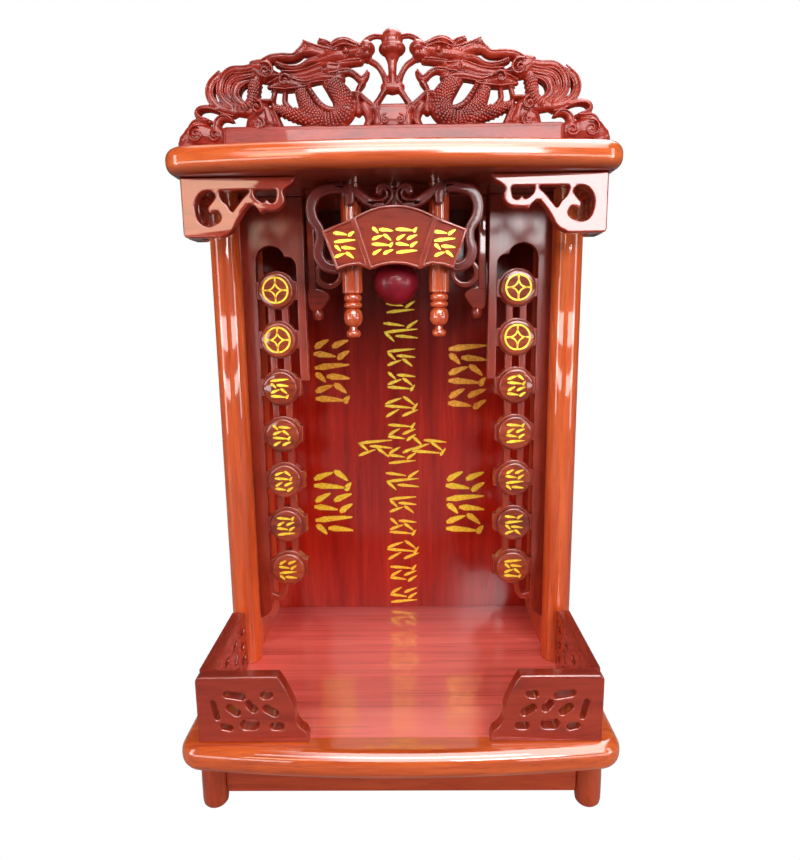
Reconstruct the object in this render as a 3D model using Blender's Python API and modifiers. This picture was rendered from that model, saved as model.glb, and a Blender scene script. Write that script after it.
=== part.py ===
import bpy
import bmesh
from math import atan2, cos, hypot, pi, radians, sin
from mathutils import Matrix

# Ancestor shrine niche: a tabletop altar with a carved crest, in metres, front towards -Y.

# Overall sizes
leg_height = 0.069
base_width = 0.462
base_depth = 0.359
base_thickness = 0.030
inner_height = 0.5735
roof_width = 0.453
roof_depth = 0.298
roof_thickness = 0.0268
base_bow = 0.016
roof_bow = 0.021
corner_radius = 0.026
nose_share = 0.44
crest_width = 0.434
crest_height = 0.1117
crest_depth = 0.022

# Fits and board thicknesses
clearance = 0.0003
wall_thickness = 0.012
back_thickness = 0.010
panel_thickness = 0.005
niche_width = 0.372
niche_depth = 0.110

# Feet and aprons
foot_radius = 0.014
foot_inset = 0.024
apron_height = 0.053
apron_thickness = 0.010

# Rails
rail_outer_width = 0.418
rail_height = 0.074
rail_thickness = 0.015
rail_setback = 0.024
rail_front_length = 0.115

# Posts and brackets
post_radius = 0.017
post_spacing = 0.3936
post_setback = 0.166
bracket_thickness = 0.014
bracket_drop = 0.058
bracket_length = 0.116

# Couplet boards and discs
couplet_thickness = 0.012
couplet_width = 0.075
couplet_outer_strip = 0.0165
couplet_inner_strip = 0.010
disc_count = 7
disc_radius = 0.0213
disc_thickness = 0.0085
seat_radius = 0.0230
disc_pitch = 0.0586
disc_top_drop = 0.1075

# Plaque, scrollwork, hanging posts and lamp
plaque_width = 0.151
plaque_height = 0.065
plaque_drop = 0.026
plaque_thickness = 0.012
plaque_rim = 0.0030
plaque_relief = 0.0025
scroll_width = 0.186
scroll_height = 0.093
scroll_thickness = 0.008
hanging_spacing = 0.0948
hanging_radius = 0.011
hanging_length = 0.1615
lamp_radius = 0.0253
lamp_drop = 0.1015
spandrel_thickness = 0.012

# Heights and depths that follow from the sizes
floor_z = leg_height + base_thickness
roof_z = floor_z + inner_height
roof_top_z = roof_z + roof_thickness
base_front_y = -base_depth / 2
back_y = base_depth / 2
roof_front_y = back_y - roof_depth
rail_front_y = base_front_y + rail_setback
post_y = back_y - post_setback
panel_back_y = back_y - 0.011
back_front_y = panel_back_y - back_thickness
wall_front_y = back_front_y - niche_depth + clearance
couplet_back_y = wall_front_y - clearance
couplet_front_y = couplet_back_y - couplet_thickness
seat_front_y = couplet_front_y - 0.001
bracket_front_y = roof_front_y + 0.039
crest_y = roof_front_y + 0.054
plaque_back_y = roof_front_y + 0.067
scroll_front_y = plaque_back_y + clearance
hanging_y = scroll_front_y + scroll_thickness + hanging_radius + clearance
lamp_y = scroll_front_y + scroll_thickness + lamp_radius + 0.003
post_x = post_spacing / 2
foot_x = base_width / 2 - foot_inset

for old in list(bpy.data.objects):
    bpy.data.objects.remove(old, do_unlink=True)

model = bpy.data.collections.new("ancestor_shrine_niche")
bpy.context.scene.collection.children.link(model)
cutters = bpy.data.collections.new("cutters")
cutters.hide_render = True
bpy.context.scene.collection.children.link(cutters)


def lacquer(name, colour, roughness):
    made = bpy.data.materials.new(name)
    made.use_nodes = True
    shader = made.node_tree.nodes["Principled BSDF"]
    shader.inputs["Base Color"].default_value = (colour[0], colour[1], colour[2], 1.0)
    shader.inputs["Roughness"].default_value = roughness
    shader.inputs["Metallic"].default_value = 0.0
    made.diffuse_color = (colour[0], colour[1], colour[2], 1.0)
    return made


orange_wood = lacquer("orange lacquered wood", (0.50, 0.105, 0.020), 0.28)
red_wood = lacquer("red lacquered wood", (0.26, 0.030, 0.014), 0.26)
floor_wood = lacquer("floor wood", (0.42, 0.055, 0.016), 0.24)
panel_wood = lacquer("dark red panel wood", (0.15, 0.014, 0.010), 0.28)
disc_wood = lacquer("disc wood", (0.33, 0.045, 0.014), 0.30)
lamp_glass = lacquer("crimson lamp", (0.36, 0.004, 0.016), 0.12)


def keep(name, mesh, material, location=(0, 0, 0), rotation=(0, 0, 0)):
    part = bpy.data.objects.new(name, mesh)
    mesh.name = name
    mesh.materials.clear()
    mesh.materials.append(material)
    part.location = location
    part.rotation_euler = rotation
    model.objects.link(part)
    return part


def baked(part):
    bpy.context.view_layer.update()
    graph = bpy.context.evaluated_depsgraph_get()
    return bpy.data.meshes.new_from_object(part.evaluated_get(graph))


def cleaned(mesh, distance=0.00001):
    work = bmesh.new()
    work.from_mesh(mesh)
    bmesh.ops.remove_doubles(work, verts=work.verts, dist=distance)
    bmesh.ops.recalc_face_normals(work, faces=work.faces)
    work.to_mesh(mesh)
    work.free()
    return mesh


def mirrored(mesh):
    other = mesh.copy()
    other.transform(Matrix.Diagonal((-1, 1, 1, 1)))
    other.flip_normals()
    return other


# Flat shapes: an outline with holes, as thick as asked, standing in the XZ plane
def plate(outline, holes, thickness, front_y):
    curve = bpy.data.curves.new("outline", "CURVE")
    curve.dimensions = "2D"
    curve.fill_mode = "BOTH"
    curve.extrude = thickness / 2
    for loop in [outline] + list(holes):
        spline = curve.splines.new("POLY")
        spline.points.add(len(loop) - 1)
        for point, (x, z) in zip(spline.points, loop):
            point.co = (x, z, 0, 1)
        spline.use_cyclic_u = True
    holder = bpy.data.objects.new("outline", curve)
    cutters.objects.link(holder)
    mesh = baked(holder)
    bpy.data.objects.remove(holder, do_unlink=True)
    turn = Matrix.Rotation(pi / 2, 4, "X")
    mesh.transform(Matrix.Translation((0, front_y + thickness / 2, 0)) @ turn)
    return cleaned(mesh)


def boolean(first, second, operation):
    a = bpy.data.objects.new("first", first)
    b = bpy.data.objects.new("second", second)
    b.display_type = "WIRE"
    b.hide_render = True
    cutters.objects.link(a)
    cutters.objects.link(b)
    step = a.modifiers.new("boolean", "BOOLEAN")
    step.operation = operation
    step.solver = "EXACT"
    step.object = b
    mesh = baked(a)
    bpy.data.objects.remove(a, do_unlink=True)
    bpy.data.objects.remove(b, do_unlink=True)
    return cleaned(mesh)


def box(x0, x1, y0, y1, z0, z1):
    work = bmesh.new()
    bmesh.ops.create_cube(work, size=1)
    middle = Matrix.Translation(((x0 + x1) / 2, (y0 + y1) / 2, (z0 + z1) / 2))
    bmesh.ops.transform(work, matrix=middle @ Matrix.Diagonal((x1 - x0, y1 - y0, z1 - z0, 1)),
                        verts=work.verts)
    mesh = bpy.data.meshes.new("box")
    work.to_mesh(mesh)
    work.free()
    return mesh


def smooth(points, steps=3, closed=False):
    made = []
    count = len(points)
    spans = count if closed else count - 1
    for i in range(spans):
        picks = []
        for j in (i - 1, i, i + 1, i + 2):
            picks.append(points[j % count] if closed else points[max(0, min(count - 1, j))])
        for s in range(steps):
            t = s / steps
            value = []
            for a, b, c, d in zip(*picks):
                value.append(0.5 * (2 * b + (c - a) * t + (2 * a - 5 * b + 4 * c - d) * t * t
                                    + (3 * b - a - 3 * c + d) * t ** 3))
            made.append(tuple(value))
    if not closed:
        made.append(tuple(points[-1]))
    return made


def arc(cx, cz, radius, start, end, steps):
    turns = [radians(start + (end - start) * i / steps) for i in range(steps + 1)]
    return [(cx + radius * cos(t), cz + radius * sin(t)) for t in turns]


# A ribbon of given half widths along a route, with rounded ends, as an outline
def ribbon(route, steps=3, cap=3):
    line = smooth(route, steps)
    left = []
    right = []
    for i, (x, z, half) in enumerate(line):
        x0, z0 = line[max(0, i - 1)][:2]
        x1, z1 = line[min(len(line) - 1, i + 1)][:2]
        run = hypot(x1 - x0, z1 - z0)
        nx, nz = -(z1 - z0) / run, (x1 - x0) / run
        left.append((x + nx * half, z + nz * half))
        right.append((x - nx * half, z - nz * half))
    ends = []
    for i, j in ((len(line) - 1, len(line) - 2), (0, 1)):
        x, z, half = line[i]
        heading = atan2(z - line[j][1], x - line[j][0])
        turns = [heading + pi / 2 - pi * k / (cap + 1) for k in range(1, cap + 1)]
        ends.append([(x + half * cos(t), z + half * sin(t)) for t in turns])
    return left + ends[0] + right[::-1] + ends[1]


# Turned shapes: radius and height pairs from the bottom to the top
def turned(profile, segments):
    work = bmesh.new()
    low, high = profile[0][1], profile[-1][1]
    corners = [(0, high)] + profile[::-1] + [(0, low)]
    line = [work.verts.new((radius, 0, z)) for radius, z in corners]
    for start, end in zip(line, line[1:]):
        work.edges.new((start, end))
    mesh = bpy.data.meshes.new("profile")
    work.to_mesh(mesh)
    work.free()
    holder = bpy.data.objects.new("profile", mesh)
    cutters.objects.link(holder)
    screw = holder.modifiers.new("turn", "SCREW")
    screw.steps = segments
    screw.render_steps = segments
    screw.use_merge_vertices = True
    screw.merge_threshold = 0.00001
    screw.use_smooth_shade = False
    made = baked(holder)
    bpy.data.objects.remove(holder, do_unlink=True)
    return cleaned(made)


def bulge(radius, low, high, steps, neck):
    made = []
    for i in range(steps + 1):
        t = -1 + 2 * i / steps
        made.append((neck + (radius - neck) * (1 - t * t) ** 0.5, low + (high - low) * i / steps))
    return made


# Boards with a bowed front and a rounded nose all round but the back
def bowed_outline(width, depth, back, bow):
    half = width / 2
    front = back - depth
    slope = atan2(2 * bow * (half - corner_radius), half * half)

    def bow_at(x):
        return front + bow * (x / half) ** 2

    end_x = half - corner_radius + corner_radius * sin(slope)
    centre_y = bow_at(end_x) + corner_radius * cos(slope)
    right = []
    for i in range(6):
        t = -(pi / 2 - slope) * i / 5
        right.append((half - corner_radius + corner_radius * cos(t), centre_y + corner_radius * sin(t)))
    middle = [(end_x * (1 - i / 5), bow_at(end_x * (1 - i / 5))) for i in range(1, 5)]
    side = [(half, back)] + right + middle
    return side + [(0, front)] + [(-x, y) for x, y in side[::-1]]


def nosed_board(width, depth, thickness, back, bottom, bow):
    mesh = plate(bowed_outline(width, depth, back, bow), [], thickness, -thickness / 2)
    mesh.transform(Matrix.Translation((0, 0, bottom + thickness / 2)) @ Matrix.Rotation(-pi / 2, 4, "X"))
    work = bmesh.new()
    work.from_mesh(mesh)
    nose = [edge for edge in work.edges
            if len({round(face.normal.z) for face in edge.link_faces}) > 1
            and sum(vert.co.y for vert in edge.verts) < 2 * back - 1e-5]
    bmesh.ops.bevel(work, geom=nose, offset=nose_share * thickness, offset_type="OFFSET", segments=3,
                    profile=0.5, affect="EDGES", clamp_overlap=False)
    work.to_mesh(mesh)
    work.free()
    return cleaned(mesh)


# Base board with its pocket, floor panel, feet and aprons
panel_front_y = rail_front_y + 0.008
panel_half = niche_width / 2 + wall_thickness - 0.002
base_mesh = nosed_board(base_width, base_depth, base_thickness, back_y, leg_height, base_bow)
pocket = box(-panel_half - clearance, panel_half + clearance, panel_front_y - clearance,
             panel_back_y + clearance, floor_z - panel_thickness - clearance, floor_z + 0.01)
keep("base_board", boolean(base_mesh, pocket, "DIFFERENCE"), orange_wood)
keep("floor_panel", box(-panel_half, panel_half, panel_front_y, panel_back_y,
                        floor_z - panel_thickness, floor_z), floor_wood)

foot_profile = [(0.62 * foot_radius, 0), (0.88 * foot_radius, 0.0022), (foot_radius, 0.008),
                (foot_radius, 0.4 * leg_height), (0.93 * foot_radius, leg_height - clearance)]
foot_front_y = base_front_y + 0.060
foot_back_y = back_y - 0.030
for side, x in (("left", -foot_x), ("right", foot_x)):
    for end, y in (("front", foot_front_y), ("back", foot_back_y)):
        keep("foot_" + end + "_" + side, turned(foot_profile, 14), orange_wood, (x, y, 0))

apron_low = leg_height - apron_height
apron_half = foot_x - foot_radius - clearance
for end, y in (("front", foot_front_y), ("back", foot_back_y)):
    keep("apron_" + end, box(-apron_half, apron_half, y - apron_thickness / 2, y + apron_thickness / 2,
                             apron_low, leg_height - clearance), orange_wood)
for side, x in (("left", -foot_x), ("right", foot_x)):
    keep("apron_" + side, box(x - apron_thickness / 2, x + apron_thickness / 2,
                              foot_front_y + foot_radius + clearance,
                              foot_back_y - foot_radius - clearance,
                              apron_low, leg_height - clearance), orange_wood)


# Rails: each hole is a rounded slot given by centre, length, width and slant
def slot(x, z, length, width, slant):
    reach = max(length - width, 0.0002) / 2
    dx, dz = cos(radians(slant)) * reach, sin(radians(slant)) * reach
    round_end = 1.06 * width / 2
    return (arc(x + dx, z + dz, round_end, slant - 60, slant + 60, 2)
            + arc(x - dx, z - dz, round_end, slant + 120, slant + 240, 2))


rail_half = rail_outer_width / 2
rail_low = floor_z + clearance
rail_rise = rail_height / 0.074
rail_run = rail_front_length / 0.115
end_route = [(0.030, 0.074), (0.0255, 0.067), (0.0185, 0.052), (0.0135, 0.038), (0.0130, 0.026),
             (0.0085, 0.0165), (0.0030, 0.012), (0, 0.005)]
inner_x = rail_half - rail_front_length
rail_outline = [(rail_half, 0), (rail_half, rail_height - 0.006),
                (rail_half - 0.002, rail_height - 0.0015), (rail_half - 0.006, rail_height)]
rail_outline += [(inner_x + x * rail_run, z * rail_rise) for x, z in smooth(end_route, 2)] + [(inner_x, 0)]
front_slots = [(0.040, 0.053, 0.023, 0.0075, 10), (0.073, 0.0535, 0.013, 0.0085, -8),
               (0.019, 0.0365, 0.023, 0.0060, 78), (0.038, 0.0365, 0.017, 0.0085, 38),
               (0.057, 0.0405, 0.015, 0.0085, 52), (0.0765, 0.0360, 0.018, 0.0085, 32),
               (0.030, 0.0170, 0.014, 0.0070, 12), (0.054, 0.0200, 0.020, 0.0120, 0),
               (0.0825, 0.0180, 0.015, 0.0085, 0)]
rail_holes = [slot(rail_half - x * rail_run, z * rail_rise, length * rail_run, width * rail_rise, slant)
              for x, z, length, width, slant in front_slots]
right_rail = plate(rail_outline, rail_holes, rail_thickness, rail_front_y)
right_rail.transform(Matrix.Translation((0, 0, rail_low)))
keep("rail_front_right", right_rail, red_wood)
keep("rail_front_left", mirrored(right_rail), red_wood)

side_start = rail_front_y + rail_thickness + clearance
side_length = post_y - post_radius - clearance - side_start
side_outline = [(0, 0), (side_length, 0), (side_length, rail_height - 0.008)]
side_outline += arc(side_length - 0.008, rail_height - 0.008, 0.008, 22, 90, 3) + [(0, rail_height)]
side_holes = []
for i in range(4):
    along = side_length * (i + 0.5) / 4
    side_holes.append(slot(along, 0.053 * rail_rise, 0.017, 0.0075 * rail_rise, 8 - 16 * (i % 2)))
    side_holes.append(slot(along + 0.003 - 0.006 * (i % 2), 0.0355 * rail_rise, 0.016, 0.0080 * rail_rise,
                           38 - 76 * (i % 2)))
    side_holes.append(slot(along, 0.0175 * rail_rise, 0.018, 0.0085 * rail_rise, 0))
side_mesh = plate(side_outline, side_holes, rail_thickness, 0)
side_mesh.transform(Matrix.Translation((rail_half, side_start, rail_low)) @ Matrix.Rotation(pi / 2, 4, "Z"))
keep("rail_side_right", side_mesh, red_wood)
keep("rail_side_left", mirrored(side_mesh), red_wood)

# Plain round posts
post_profile = [(post_radius, 0), (post_radius, inner_height - 2 * clearance)]
for side, x in (("left", -post_x), ("right", post_x)):
    keep("post_" + side, turned(post_profile, 24), orange_wood, (x, post_y, floor_z + clearance))

# Walls of the niche
wall_top = roof_z - clearance
half_niche = niche_width / 2
for side, sign in (("left", -1), ("right", 1)):
    x0, x1 = sorted((sign * half_niche, sign * (half_niche + wall_thickness)))
    keep("side_wall_" + side, box(x0, x1, wall_front_y, panel_back_y, floor_z + clearance, wall_top),
         panel_wood)
keep("back_panel", box(-half_niche + clearance, half_niche - clearance, back_front_y, panel_back_y,
                       floor_z + clearance, wall_top), panel_wood)

# Couplet boards: two strips under a cusped arch, with a row of round seats between
couplet_outer = half_niche - 0.001
couplet_inner = couplet_outer - couplet_width
gap_outer = couplet_outer - couplet_outer_strip
gap_inner = couplet_inner + couplet_inner_strip
seat_x = (gap_outer + gap_inner) / 2
top_seat_z = roof_z - disc_top_drop
inner_end_z = top_seat_z - 1.86 * disc_pitch
foot_z = top_seat_z - (disc_count - 1) * disc_pitch - 0.0714
gap = gap_outer - gap_inner
big = 0.372 * gap
small = 0.232 * gap
spring_z = top_seat_z + 0.034
arch = [(gap_inner, inner_end_z), (gap_inner, spring_z - 0.011)]
arch += arc(gap_inner + small, spring_z - 0.006, small, 178, 76, 5)
arch += arc(gap_outer - big, spring_z, big, 148, 2, 8)
arch += [(gap_outer, foot_z + 0.024)]
arch += smooth([(gap_outer, foot_z + 0.020), (gap_outer + 0.0012, foot_z + 0.0135),
                (gap_outer + 0.0060, foot_z + 0.0060), (couplet_outer, foot_z)], 2)
couplet_outline = [(couplet_outer, wall_top), (couplet_inner, wall_top), (couplet_inner, inner_end_z)] + arch
couplet_mesh = plate(couplet_outline, [], couplet_thickness, couplet_front_y)
for i in range(disc_count):
    z = top_seat_z - i * disc_pitch
    seat = arc(seat_x, z, seat_radius, 32, 148, 3)
    seat += [(gap_inner - 0.0004, z + 0.0105), (gap_inner - 0.0004, z - 0.0105)]
    seat += arc(seat_x, z, seat_radius, 212, 328, 3)
    seat += [(gap_outer + 0.0004, z - 0.0105), (gap_outer + 0.0004, z + 0.0105)]
    couplet_mesh = boolean(couplet_mesh, plate(seat, [], couplet_thickness, seat_front_y), "UNION")
    if i + 1 < disc_count:
        for shift in (-0.0083, 0.0083):
            bar = box(seat_x + shift - 0.0041, seat_x + shift + 0.0041, couplet_front_y + 0.0008,
                      couplet_back_y - 0.002, z - disc_pitch + seat_radius - 0.0045,
                      z - seat_radius + 0.0045)
            couplet_mesh = boolean(couplet_mesh, bar, "UNION")
hook_z = foot_z + 0.031
hook_route = [(gap_outer + 0.002, hook_z, 0.0040), (gap_outer - 0.0085, hook_z - 0.0030, 0.0036),
              (gap_outer - 0.0150, hook_z + 0.0020, 0.0034), (gap_outer - 0.0165, hook_z + 0.0100, 0.0034),
              (gap_outer - 0.0185, hook_z + 0.0205, 0.0034)]
hook = plate(ribbon(hook_route, 3), [], couplet_thickness - 0.003, couplet_front_y + 0.001)
couplet_mesh = boolean(couplet_mesh, hook, "UNION")
keep("couplet_board_right", couplet_mesh, red_wood)
keep("couplet_board_left", mirrored(couplet_mesh), red_wood)

# Round buttons on the seats, with a softened rim
disc_back_y = seat_front_y - clearance
disc_profile = [(disc_radius, 0), (disc_radius, disc_thickness - 0.0022),
                (disc_radius - 0.0022, disc_thickness)]
for side, sign in (("left", -1), ("right", 1)):
    for i in range(disc_count):
        place = (sign * seat_x, disc_back_y, top_seat_z - i * disc_pitch)
        keep("disc_" + side + "_" + str(i + 1), turned(disc_profile, 15), disc_wood, place, (pi / 2, 0, 0))

# Front brackets: a scrolled lower edge and three pierced shapes
bracket_outer = post_x + post_radius
bracket_run = bracket_length / 0.116
bracket_rise = bracket_drop / 0.058
lower = [(0.1130, -0.0060), (0.1030, -0.0130), (0.1040, -0.0210), (0.1015, -0.0275), (0.0935, -0.0323),
         (0.0842, -0.0321), (0.0790, -0.0345)]
upper = [(0.0762, -0.0300), (0.0682, -0.0262), (0.0573, -0.0387), (0.0495, -0.0512), (0.0378, -0.0580)]
edge = [(0.1160, 0)] + smooth(lower, 2) + smooth(upper, 2) + [(0.0028, -0.0580), (0, -0.0555), (0, 0)]
bracket_outline = [(bracket_outer - x * bracket_run, z * bracket_rise) for x, z in edge]


def bracket_hole(points):
    return [(bracket_outer - x * bracket_run, z * bracket_rise) for x, z in points]


crescent = smooth([(0.0346, -0.0173), (0.0286, -0.0125), (0.0198, -0.0150), (0.0135, -0.0250),
                   (0.0150, -0.0390), (0.0204, -0.0455), (0.0280, -0.0466), (0.0365, -0.0428),
                   (0.0394, -0.0375), (0.0355, -0.0322), (0.0286, -0.0346), (0.0266, -0.0288),
                   (0.0305, -0.0240)], 2, True)
wedge = smooth([(0.0685, -0.0128), (0.0540, -0.0124), (0.0395, -0.0128), (0.0405, -0.0210),
                (0.0461, -0.0268), (0.0502, -0.0329), (0.0545, -0.0290), (0.0612, -0.0212)], 2, True)
leaf = smooth([(0.0958, -0.0128), (0.0850, -0.0124), (0.0740, -0.0128), (0.0748, -0.0195), (0.0820, -0.0244),
               (0.0860, -0.0216), (0.0895, -0.0249), (0.0945, -0.0230)], 2, True)
bracket_mesh = plate(bracket_outline, [bracket_hole(crescent), bracket_hole(wedge), bracket_hole(leaf)],
                     bracket_thickness, bracket_front_y)
bracket_mesh.transform(Matrix.Translation((0, 0, wall_top)))
keep("bracket_front_right", bracket_mesh, red_wood)
keep("bracket_front_left", mirrored(bracket_mesh), red_wood)

# Side brackets run from the front ones back to the posts
return_start = bracket_front_y + bracket_thickness + clearance
return_length = post_y - post_radius - clearance - return_start
return_edge = [(0, 0), (0, -bracket_drop), (0.45 * return_length, -bracket_drop)]
return_curve = [(0.62, -0.90), (0.72, -0.72), (0.88, -0.60), (1.0, -0.42)]
return_edge += smooth([(x * return_length, z * bracket_drop) for x, z in return_curve], 3)
return_edge += [(return_length, 0)]
return_hole = ribbon([(0.70 * return_length, -0.30 * bracket_drop, 0.0050),
                      (0.46 * return_length, -0.26 * bracket_drop, 0.0040),
                      (0.34 * return_length, -0.46 * bracket_drop, 0.0036),
                      (0.44 * return_length, -0.68 * bracket_drop, 0.0050)], 3)
return_mesh = plate(return_edge, [return_hole], bracket_thickness, 0)
return_mesh.transform(Matrix.Translation((bracket_outer, return_start, wall_top))
                      @ Matrix.Rotation(pi / 2, 4, "Z"))
keep("bracket_side_right", return_mesh, red_wood)
keep("bracket_side_left", mirrored(return_mesh), red_wood)

roof_mesh = nosed_board(roof_width, roof_depth, roof_thickness, back_y, roof_z, roof_bow)
keep("roof_board", roof_mesh, orange_wood)

# Plaque: a fan of three panels, each sunk inside a raised rim
fan_run = plaque_width / 0.151
fan_rise = plaque_height / 0.065
plaque_top = roof_z - plaque_drop
fan_top = [(-0.0755, -0.0250), (-0.0430, -0.0127)]
fan_top += [(-0.0430 + 0.0086 * i, -0.0127 * ((i - 5) / 5) ** 2) for i in range(1, 10)]
fan_top += [(0.0430, -0.0127), (0.0755, -0.0250)]
fan_low = [(0.0613, -0.0650), (0.0500, -0.0612), (0.0380, -0.0598), (0.0260, -0.0650)]
fan_low += [(0.0260 - 0.0065 * i, -0.0650 + 0.0056 * (1 - ((i - 4) / 4) ** 2)) for i in range(1, 8)]
fan_low += [(-0.0260, -0.0650), (-0.0380, -0.0598), (-0.0500, -0.0612), (-0.0613, -0.0650)]
fan = [(x * fan_run, plaque_top + z * fan_rise) for x, z in fan_top + fan_low]
plaque_mesh = plate(fan, [], plaque_thickness, plaque_back_y - plaque_thickness)


def inset_loop(points, distance):
    made = []
    count = len(points)
    for i, (x, z) in enumerate(points):
        x0, z0 = points[i - 1]
        x1, z1 = points[(i + 1) % count]
        ux, uz = (x - x0), (z - z0)
        vx, vz = (x1 - x), (z1 - z)
        a, b = hypot(ux, uz), hypot(vx, vz)
        nx, nz = uz / a + vz / b, -ux / a - vx / b
        size = nx * nx + nz * nz
        made.append((x + 2 * distance * nx / size, z + 2 * distance * nz / size))
    return made


middle_panel = fan_top[1:-1] + [fan_low[3]] + fan_low[4:12]
side_panel = [fan_top[-2], fan_top[-1]] + fan_low[0:4]
for panel in (middle_panel, side_panel, [(-x, z) for x, z in side_panel[::-1]]):
    loop = inset_loop([(x * fan_run, plaque_top + z * fan_rise) for x, z in panel], plaque_rim)
    sink = plate(loop, [], 2 * plaque_relief, plaque_back_y - plaque_thickness - plaque_relief)
    plaque_mesh = boolean(plaque_mesh, sink, "DIFFERENCE")
keep("plaque", plaque_mesh, red_wood)

# Scrollwork behind the plaque: a core it hides, two big loops and two top scrolls
scroll_run = scroll_width / 0.186
scroll_rise = scroll_height / 0.093
core = [(x * fan_run * 0.94, plaque_top + (z - 0.0015) * fan_rise)
        for x, z in fan_top[0:2] + fan_top[3:-2:2] + fan_top[-2:]]
core += [(side * 0.0540 * fan_run, roof_z - scroll_height + 0.006) for side in (1, -1)]
scroll_mesh = plate(core, [], scroll_thickness - 0.0012, scroll_front_y + 0.0004)
loop_route = [(0.0470, -0.0200, 0.0047), (0.0475, -0.0110, 0.0054), (0.0560, -0.0070, 0.0054),
              (0.0690, -0.0070, 0.0057), (0.0820, -0.0120, 0.0061), (0.0880, -0.0240, 0.0059),
              (0.0860, -0.0370, 0.0059), (0.0795, -0.0480, 0.0054), (0.0785, -0.0590, 0.0057),
              (0.0815, -0.0710, 0.0059), (0.0770, -0.0830, 0.0057), (0.0660, -0.0880, 0.0054),
              (0.0540, -0.0840, 0.0052)]
top_route = [(0.0490, -0.0050, 0.0035), (0.0380, -0.0120, 0.0047), (0.0240, -0.0215, 0.0052),
             (0.0110, -0.0215, 0.0050), (0.0048, -0.0140, 0.0042), (0.0085, -0.0062, 0.0038),
             (0.0150, -0.0060, 0.0035), (0.0165, -0.0105, 0.0035)]
for sign in (1, -1):
    for route, behind in ((loop_route, 0), (top_route, 0.0011)):
        line = [(x * scroll_run, wall_top + z * scroll_rise, half) for x, z, half in route]
        strip = plate(ribbon(line, 2), [], scroll_thickness - 2 * behind, scroll_front_y + behind)
        strip = mirrored(strip) if sign < 0 else strip
        scroll_mesh = boolean(scroll_mesh, strip, "UNION")
    peg_x = sign * 0.016 * scroll_run
    peg = box(peg_x - 0.005, peg_x + 0.005, scroll_front_y + 0.0017, scroll_front_y + 0.0052,
              plaque_top - 0.012, wall_top - 0.0215 * scroll_rise)
    scroll_mesh = boolean(scroll_mesh, peg, "UNION")
    stay_x = sign * 0.058 * scroll_run
    stay = box(stay_x - 0.005, stay_x + 0.005, scroll_front_y + 0.0014, scroll_front_y + 0.0062,
               wall_top - 0.007, wall_top)
    scroll_mesh = boolean(scroll_mesh, stay, "UNION")
keep("plaque_scrollwork", scroll_mesh, red_wood)

# Short turned posts hanging beside the lamp: disc, ball, two rings and a shaft
hang_rise = hanging_length / 0.165
hang_profile = bulge(0.72 * hanging_radius, 0, 0.0080 * hang_rise, 4, 0.45 * hanging_radius)
hang_profile += [(0.34 * hanging_radius, 0.0120 * hang_rise)]
for wide, low, high, neck in ((0.94, 0.0130, 0.0320, 0.50), (0.90, 0.0325, 0.0392, 0.62),
                              (0.90, 0.0395, 0.0480, 0.62)):
    hang_profile += bulge(wide * hanging_radius, low * hang_rise, high * hang_rise, 4,
                          neck * hanging_radius)[1:]
hang_profile += [(hanging_radius, 0.0515 * hang_rise), (hanging_radius, hanging_length)]
for side, sign in (("left", -1), ("right", 1)):
    place = (sign * hanging_spacing / 2, hanging_y, wall_top - hanging_length)
    keep("hanging_post_" + side, turned(hang_profile, 10), orange_wood, place)

# Lamp ball and its turned holder
ball_z = roof_z - lamp_drop
ball_profile = []
for i in range(10):
    t = radians(-84 + 160 * i / 9)
    ball_profile.append((lamp_radius * cos(t), ball_z + lamp_radius * sin(t)))
holder_low = ball_profile[-1][1] + clearance
keep("lamp_ball", turned(ball_profile, 16), lamp_glass, (0, lamp_y, 0))
holder_profile = [(0.0105, holder_low), (0.0125, holder_low + 0.002), (0.0125, holder_low + 0.008),
                  (0.0065, holder_low + 0.011), (0.0065, wall_top - 0.004), (0.0110, wall_top - 0.003),
                  (0.0110, wall_top)]
keep("lamp_holder", turned(holder_profile, 12), red_wood, (0, lamp_y, 0))

# Carved drops beside the couplet boards
drop_y = couplet_back_y + clearance
strip_outer = couplet_inner - 0.002
strip_inner = strip_outer - 0.009
drop_z = roof_z - 0.1085
spandrel_mesh = box(strip_inner, strip_outer, drop_y, drop_y + spandrel_thickness, drop_z, wall_top)
block = [(strip_outer, drop_z + 0.004), (strip_outer, drop_z - 0.020), (strip_outer - 0.012, drop_z - 0.024),
         (strip_outer - 0.024, drop_z - 0.010), (strip_outer - 0.022, drop_z - 0.001)]
block_mesh = plate(block, [], spandrel_thickness - 0.002, drop_y + 0.0010)
spandrel_mesh = boolean(spandrel_mesh, block_mesh, "UNION")
ring_x = strip_inner - 0.0155
ring_centre = drop_z + 0.020
outer_ring = arc(ring_x, ring_centre, 0.0175, 0, 340, 12)
inner_ring = arc(ring_x - 0.001, ring_centre + 0.001, 0.0115, 0, 330, 9)
spandrel_mesh = boolean(spandrel_mesh, plate(outer_ring, [inner_ring], spandrel_thickness - 0.004,
                                            drop_y + 0.0020), "UNION")
bead = turned(bulge(0.0068, 0, 0.0150, 5, 0.0026), 10)
bead.transform(Matrix.Translation((strip_outer - 0.0100, drop_y + spandrel_thickness / 2, drop_z - 0.0350)))
spandrel_mesh = boolean(spandrel_mesh, bead, "UNION")
keep("inner_spandrel_right", spandrel_mesh, red_wood)
keep("inner_spandrel_left", mirrored(spandrel_mesh), red_wood)


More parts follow.
